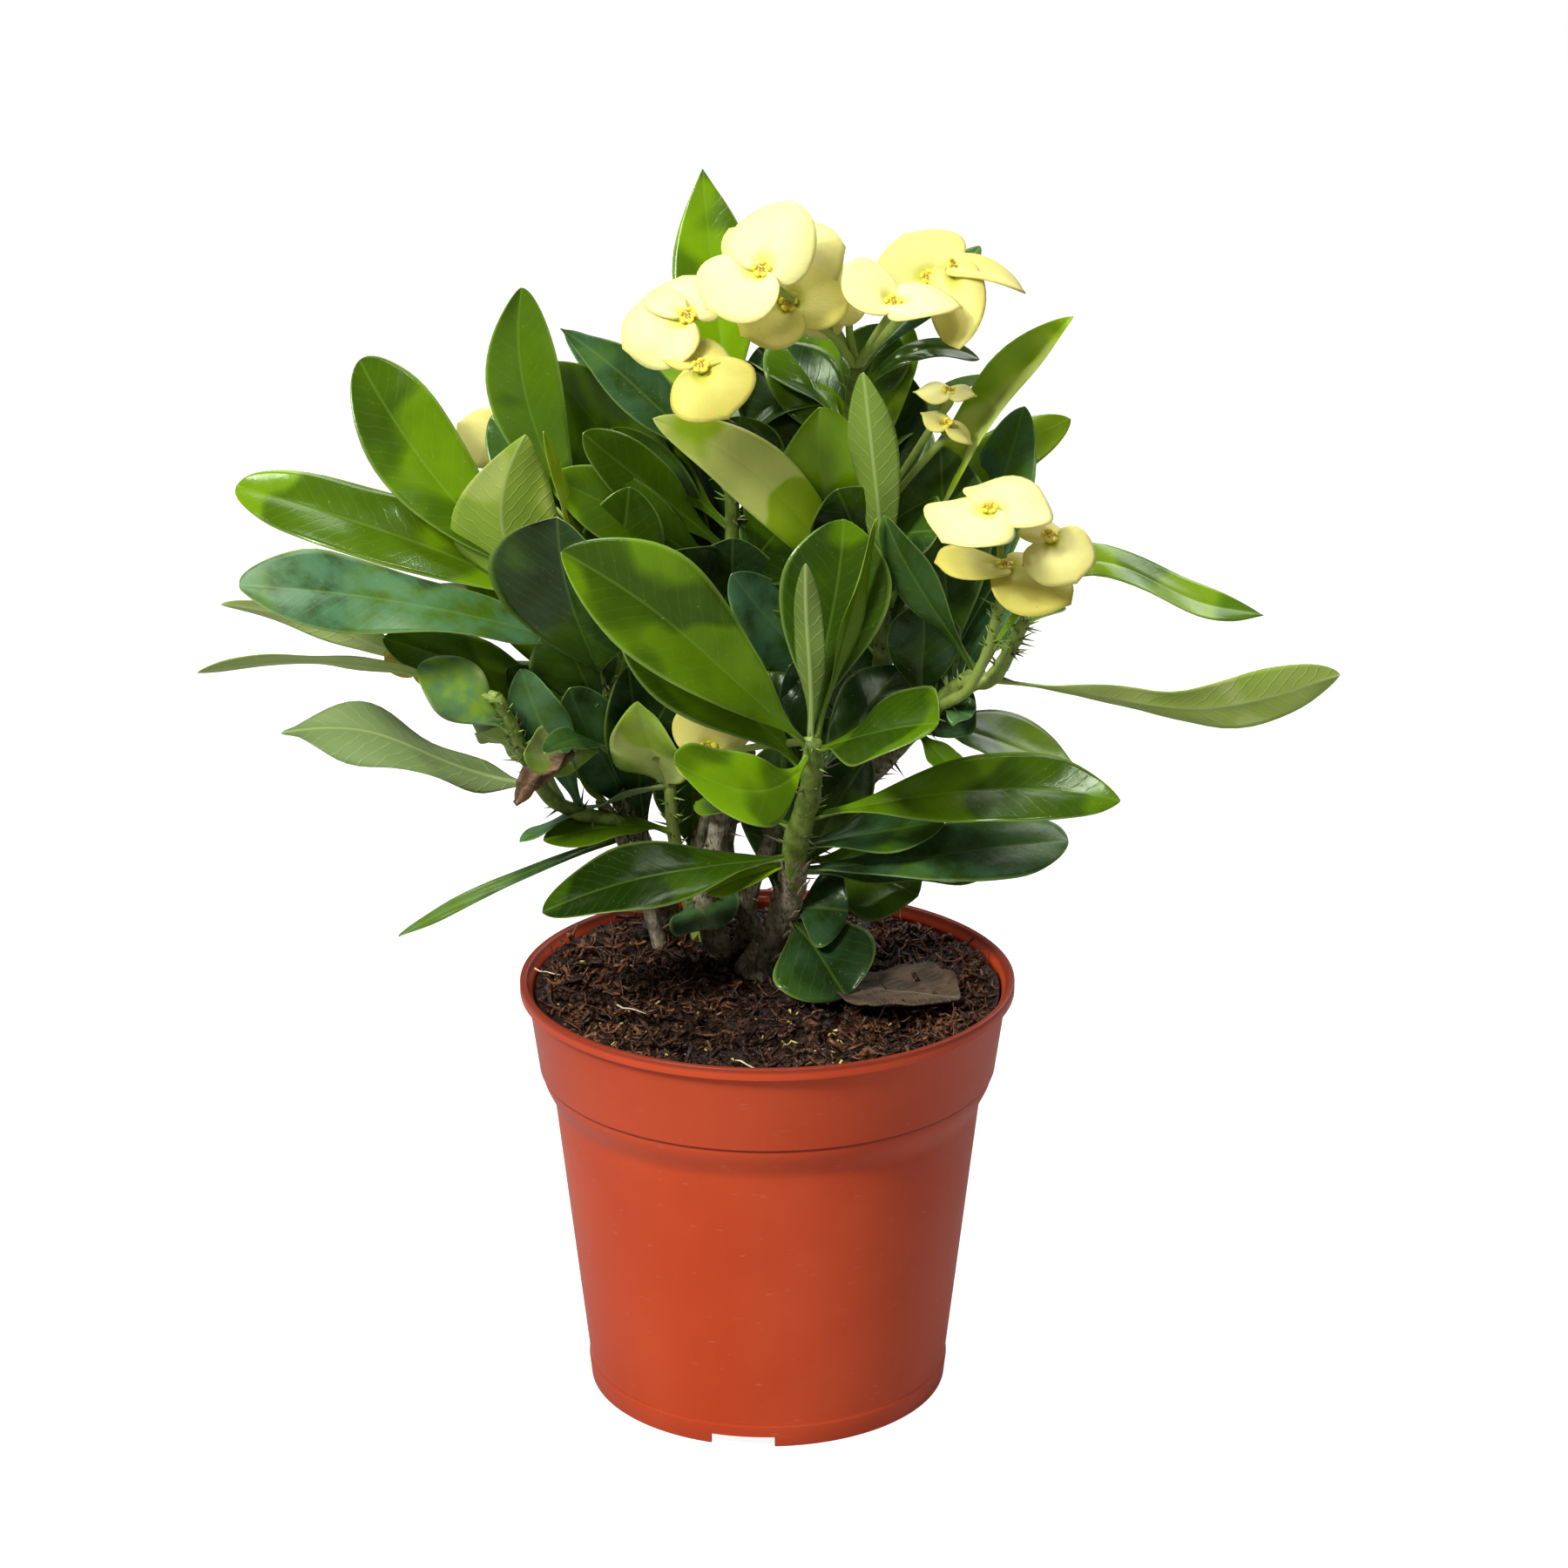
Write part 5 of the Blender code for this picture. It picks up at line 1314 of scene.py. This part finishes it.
flowerPlan = {
    "top_flower_1": dict(
        stem="back_stem", place=(-18, -6, 170), face=(-0.1, -0.75, 0.65), depth=0.1,
        bracts=(((-0.1, 0.78, 0.58), (0.05, -0.6, 0.8), 13, 19, 6),
                ((-0.92, -0.22, -0.33), (-0.25, -0.8, 0.55), 16, 20, 22)),
    ),
    "top_flower_2": dict(
        stem="centre_stem", place=(-1, -12, 182), face=(-0.1, -0.7, 0.7), via=(14, 9, 165), depth=0.0,
        bracts=(((0.38, 0.53, 0.75), (0.0, -0.75, 0.65), 17.5, 20, -8),
                ((-0.8, -0.45, -0.36), (-0.25, -0.7, 0.65), 15.5, 21, 12)),
    ),
    "top_flower_3": dict(
        stem="centre_stem", place=(2, 6, 180), face=(0.0, -0.5, 0.85), via=(18, 12, 169), depth=0.3,
        bracts=(((-0.75, 0.43, 0.55), (0.3, -0.85, 0.4), 14, 16, 14),
                ((0.9, 0.1, 0.2), (-0.1, -0.8, 0.5), 16, 20, 10)),
    ),
    "top_flower_4": dict(
        stem="centre_stem", place=(5, -1, 172), face=(0.0, -0.8, 0.5), via=(15, 7, 163), depth=0.9,
        bracts=(((0.78, 0.38, 0.40), (-0.1, -0.85, 0.5), 15, 20, 10),
                ((-0.75, -0.40, -0.38), (0.0, -0.75, 0.6), 13, 19, 8)),
    ),
    "top_flower_5": dict(
        stem="centre_stem", place=(29, -6, 173), face=(0.1, -0.6, 0.8), depth=0.05,
        bracts=(((-0.70, 0.12, 0.70), (0.72, -0.55, 0.45), 14, 17, 20),
                ((0.95, -0.14, 0.2), (-0.2, -0.2, 0.97), 15.5, 19, 26)),
    ),
    "top_flower_6": dict(
        stem="centre_stem", place=(38, 14, 174.5), face=(-0.1, -0.7, 0.7), depth=0.6,
        bracts=(((-0.45, 0.37, 0.77), (-0.1, -0.85, 0.5), 12, 23, 10),
                ((0.6, 0.3, -0.5), (0.3, -0.6, 0.6), 11, 16, 10)),
    ),
    "top_flower_7": dict(
        stem="back_stem", place=(-15, -14, 160), face=(0.0, -0.6, 0.8), depth=1.0,
        bracts=(((0.45, -0.54, -0.66), (0.0, -0.85, 0.5), 13, 21, 12),
                ((-0.15, 0.96, 0.2), (0.0, -0.2, 0.95), 11, 16, -10)),
    ),
    "right_flower_1": dict(
        stem="right_peduncle", place=(51, -24, 129), face=(-0.05, -0.36, 0.93), via=(54, -8, 119), depth=0.0,
        bracts=(((0.75, 0.65, 0.2), (-0.05, -0.38, 0.92), 15, 24, 4),
                ((-0.75, -0.65, -0.2), (-0.05, -0.35, 0.93), 15, 24, 8)),
    ),
    "right_flower_2": dict(
        stem="right_peduncle", place=(65, -19, 121), face=(0.1, -0.5, 0.85), depth=0.4,
        bracts=(((0.50, -0.62, -0.52), (0.1, -0.6, 0.8), 12, 19, 30),
                ((-0.5, 0.6, 0.2), (0.1, -0.4, 0.9), 8, 11, 0)),
    ),
    "right_flower_3": dict(
        stem="right_peduncle", place=(55, -16, 113), face=(0.0, -0.3, 0.95), depth=1.0,
        bracts=(((-1.0, -0.10, 0.22), (0.0, -0.12, 1.0), 16, 18, 6),
                ((0.85, -0.38, -0.30), (0.0, -0.35, 0.93), 17, 21, 18)),
    ),
    # heads that show in part, with no piece of their own in the CAD model
    "top_flower_8": dict(
        stem="centre_stem", place=(14, 12, 170), face=(0.1, -0.5, 0.85), depth=0.4,
        bracts=(((0.75, -0.1, 0.25), (-0.1, -0.8, 0.5), 10, 15, 12),
                ((-0.4, -0.2, -0.7), (0.1, -0.85, 0.4), 9, 13, 12)),
    ),
    "top_flower_9": dict(
        stem="centre_stem", place=(43, 6, 179), face=(0.5, -0.4, 0.75), depth=0.7,
        bracts=(((0.10, -0.59, -0.80), (-0.35, -0.8, 0.5), 20.5, 14, -8),
                ((0.93, 0.0, -0.10), (0.15, -0.35, 0.9), 18, 10, 24)),
    ),
    "front_flower": dict(
        stem="front_stem", place=(-14, 2, 63), face=(0.0, -0.6, 0.8), depth=0.8,
        bracts=(((0.1, 0.1, 1.0), (0.1, -0.95, 0.2), 12, 19, 4),
                ((-0.2, -0.4, -0.7), (0.0, -0.8, 0.5), 9, 14, 6)),
    ),
    "left_flower": dict(
        stem="left_stem", place=(-64, 36, 128), face=(0.0, -0.5, 0.85), depth=0.5,
        bracts=(((-0.7, -0.1, 0.5), (0.0, -0.85, 0.5), 12, 15, 10),
                ((0.8, 0.1, -0.3), (0.0, -0.8, 0.6), 12, 15, 16)),
    ),
    "middle_flower_1": dict(
        stem="centre_stem", start=0.62, place=(43, 14, 147), face=(0.2, -0.2, 0.95), depth=0.3,
        bracts=(((-0.9, 0.1, 0.1), (0.0, -0.2, 0.97), 8, 10, 8),
                ((0.9, -0.1, 0.0), (0.0, -0.2, 0.97), 6, 8, 8)),
    ),
    "middle_flower_2": dict(
        stem="centre_stem", start=0.62, place=(42, 11, 140), face=(-0.2, -0.4, 0.9), depth=0.6,
        bracts=(((-0.7, 0.1, 0.4), (-0.1, -0.3, 0.95), 6, 8, 10),
                ((0.8, 0.1, -0.45), (0.0, -0.3, 0.95), 8, 8, 14)),
    ),
    "branch_flower_1": dict(
        stem="left_branch", place=(-84, 14, 81), face=(0.0, -0.6, 0.8), depth=0.9,
        bracts=(((-0.8, 0.0, 0.3), (0.0, -0.8, 0.6), 8, 10, 8),
                ((0.8, 0.0, -0.3), (0.0, -0.8, 0.6), 8, 10, 8)),
    ),
}


def makeBracts(name, flower, middle, nodes):
    chance = random.Random(name)
    bm = bmesh.new()
    petal = bm.verts.layers.float_vector.new("petal")
    group = bm.verts.layers.deform.verify()
    for turn, (outward, upper, long, wide, bend) in enumerate(flower["bracts"]):
        outward = Vector(outward).normalized()
        upper = Vector(upper)
        upper = (upper - outward * upper.dot(outward)).normalized()
        beside = upper.cross(outward)
        bend = math.radians(bend) + 0.02
        phase = chance.uniform(0, math.tau)
        lobes = chance.choice((2, 3))
        centre = long * 0.40
        rows, columns = flowerShape["rows"], flowerShape["columns"]
        grid = bmesh.ops.create_grid(bm, x_segments=rows, y_segments=columns, size=1.0)
        for vertex in grid["verts"]:
            out, round_ = (vertex.co.x + 1) / 2, vertex.co.y
            angle = round_ * math.radians(158)
            reach = 0.08 + 0.92 * out
            wavy = 1 + 0.035 * math.sin(3 * angle + phase) - 0.05 * abs(round_) ** 3
            ahead = (centre + (long - centre) * math.cos(angle) * wavy) * reach
            if ahead < 0:
                ahead *= flowerShape["behind"] * 2
            sideways = wide / 2 * math.sin(angle) * wavy * reach
            # a small point at the tip
            ahead += 0.7 * math.exp(-(round_ / 0.05) ** 2) * out**3
            lift = 0.6 * math.sin(out * 2.4) - 0.09 * (sideways / (wide / 2)) ** 2 * wide / 2
            hollow = 0.8 * math.exp(-((out - 0.05) / 0.12) ** 2)
            lift += 0.075 * long * out**2 * math.sin(lobes * angle + phase) - hollow
            lift += 0.35 * turn - 0.02 * long * math.exp(-(sideways / 1.2) ** 2) * out
            bent = max(ahead, 0.0)
            turnBy = bend * bent / long
            along = math.sin(turnBy) / bend * long + min(ahead, 0.0)
            drop = (1 - math.cos(turnBy)) / bend * long
            # z carries the head's painted shade, its darkening as in shadow
            vertex[petal] = (out, round_ + 3 * turn, flower["depth"])
            vertex[group][0] = 1 - 0.6 * out**4
            vertex.co = middle + (outward * along + beside * sideways + upper * (lift - drop)) * mm
    piece = addPiece(name + "_bracts", bm, [bractTop, bractUnder], nodes)
    piece.vertex_groups.new(name="thickness")
    thicken(piece, flowerShape["thick"] * mm, "thickness", 1)


cup = {
    "size": 0.95, "foot": 1.0, "mouth": 1.75, "high": 2.4, "glands": 5, "glandWide": 0.95, "glandUp": 2.35,
    "stamens": 4, "stamenRing": 0.55, "stamenWide": 0.30, "stamenUp": 2.5,
}


def addBead(bm, spot, radius, detail, materialIndex):
    known = set(bm.faces)
    bmesh.ops.create_icosphere(bm, subdivisions=detail, radius=radius * mm, matrix=spot)
    for face in bm.faces:
        if face not in known:
            face.material_index = materialIndex


def ringSpot(base, radius, angle, height):
    place = (radius * mm * math.cos(angle), radius * mm * math.sin(angle), height * mm)
    return base @ Matrix.Translation(place)


def makeCup(name, middle, face):
    size = cup["size"]
    turn = face.to_track_quat("Z", "Y").to_matrix().to_4x4()
    bm = bmesh.new()
    base = Matrix.Translation(middle - face * 1.0 * mm) @ turn @ Matrix.Scale(size, 4)
    bmesh.ops.create_cone(bm, cap_ends=True, segments=15, radius1=cup["foot"] * mm, radius2=cup["mouth"] * mm,
                          depth=cup["high"] * mm,
                          matrix=base @ Matrix.Translation((0, 0, cup["high"] / 2 * mm)))
    top = max(bm.faces, key=lambda side: side.calc_center_median().dot(face))
    bmesh.ops.inset_region(bm, faces=[top], thickness=0.55 * mm * size, depth=-0.5 * mm * size)
    for index in range(cup["glands"]):
        angle = math.tau * index / cup["glands"] + 0.3
        spot = ringSpot(base, cup["mouth"], angle, cup["glandUp"])
        spot = spot @ Matrix.Rotation(angle, 4, "Z") @ Matrix.Diagonal((0.62, 1.0, 0.42, 1))
        addBead(bm, spot, cup["glandWide"], 2, 1)
    for index in range(cup["stamens"]):
        angle = math.tau * index / cup["stamens"] + 0.9
        spot = ringSpot(base, cup["stamenRing"], angle, cup["stamenUp"])
        addBead(bm, spot, cup["stamenWide"], 1, 2)
    addPiece(name + "_cup", bm, [cupSkin, glandSkin, stamenSkin])


def makeStalk(name, flower, middle, face):
    root, _, _ = stemSpot(flower["stem"], flower.get("start", 1.0))
    neck = middle - face * flowerShape["neck"] * mm
    via = root.lerp(neck, 0.55) + worldUp * 0.5 * mm
    if "via" in flower:
        via = plantPoint(flower["via"])
    points = [root, root.lerp(via, 0.5), via, neck.lerp(via, 0.3), neck, middle - face * 0.6 * mm]
    route = smoothRoute(points, 6)
    thin = flowerShape["stalk"] * mm

    def radiusAt(share, angle):
        return thin * (1.15 - 0.25 * math.sin(share * math.pi) + 0.5 * max(0.0, (share - 0.86) / 0.14))

    bm = bmesh.new()
    bm.verts.layers.float_vector.new("bark")
    tube(bm, route, radiusAt, 12, ("bark", lambda share, length: (0.0, share * length / mm, 1.0)))
    addPiece(name + "_stalk", bm, [stemSkin])


def makeFlower(name):
    flower = flowerPlan[name]
    middle = plantPoint(flower["place"])
    face = Vector(flower["face"]).normalized()
    makeBracts(name, flower, middle, ownNode(name))
    makeCup(name, middle, face)
    makeStalk(name, flower, middle, face)


def makeFlowers():
    for name in flowerPlan:
        makeFlower(name)
    print("flower heads made:", len(flowerPlan))


# Surroundings

studio = {
    "cameraPlace": (0.0, -0.978, 0.4887), "cameraTurn": (71.1, 0.0, -0.237), "lens": 99.24,
    "key": dict(place=(-0.80, -0.90, 1.20), size=0.32, power=21.5),
    "window": dict(place=(-0.42, -0.70, 1.20), size=0.12, power=4.0),
    "skylight": dict(place=(0.15, -0.45, 1.35), size=0.14, power=3.0),
    "fill": dict(place=(0.9, -1.3, 0.6), size=1.2, power=1.5),
    "top": dict(place=(-0.15, 0.45, 1.35), size=0.7, power=11.0),
    "back": dict(place=(0.7, 1.2, 0.9), size=0.8, power=5.0),
    "air": 0.13, "floorGlow": 0.05, "floorSeen": 0.92,
}


def makeStudio():
    bm = bmesh.new()
    bmesh.ops.create_grid(bm, x_segments=1, y_segments=1, size=12.0)
    mesh = meshOf("floor", bm)
    floor = newObject("floor", mesh)
    material, tree, shader, _ = newMaterial("floor_white", Roughness=0.9)
    shader.inputs["Base Color"].default_value = rgb(0.32, 0.32, 0.32)
    shader.inputs["Emission Strength"].default_value = 1.0
    # bright to the camera, but dim as a light on the pot and the leaves
    seen = node(tree, "LightPath").outputs["Is Camera Ray"]
    dim, bright = rgb(*[studio["floorGlow"]] * 3), rgb(*[studio["floorSeen"]] * 3)
    tree.links.new(mixColour(tree, seen, dim, bright), shader.inputs["Emission Color"])
    mesh.materials.append(material)
    for name in ("key", "window", "skylight", "fill", "top", "back"):
        lamp = studio[name]
        light = bpy.data.lights.new(name, "AREA")
        light.size = lamp["size"]
        light.energy = lamp["power"]
        holder = newObject(name, light)
        holder.location = lamp["place"]
        aim = Vector((0.0, 0.0, 0.15)) - holder.location
        holder.rotation_euler = aim.to_track_quat("-Z", "Y").to_euler()
    world = bpy.data.worlds.new("air")
    world.use_nodes = True
    world.node_tree.nodes["Background"].inputs["Color"].default_value = rgb(1.0, 1.0, 1.0)
    world.node_tree.nodes["Background"].inputs["Strength"].default_value = studio["air"]
    bpy.context.scene.world = world
    lens = bpy.data.cameras.new("camera")
    lens.lens = studio["lens"]
    lens.sensor_width = 36.0
    camera = newObject("camera", lens)
    camera.location = studio["cameraPlace"]
    camera.rotation_euler = [math.radians(value) for value in studio["cameraTurn"]]
    bpy.context.scene.camera = camera
    bpy.context.scene.view_settings.view_transform = "Standard"
    print("studio made")


makePot()
makeMix()
makeStems()
makeLeaves()
makeDryLeaves()
makeFlowers()
makeStudio()
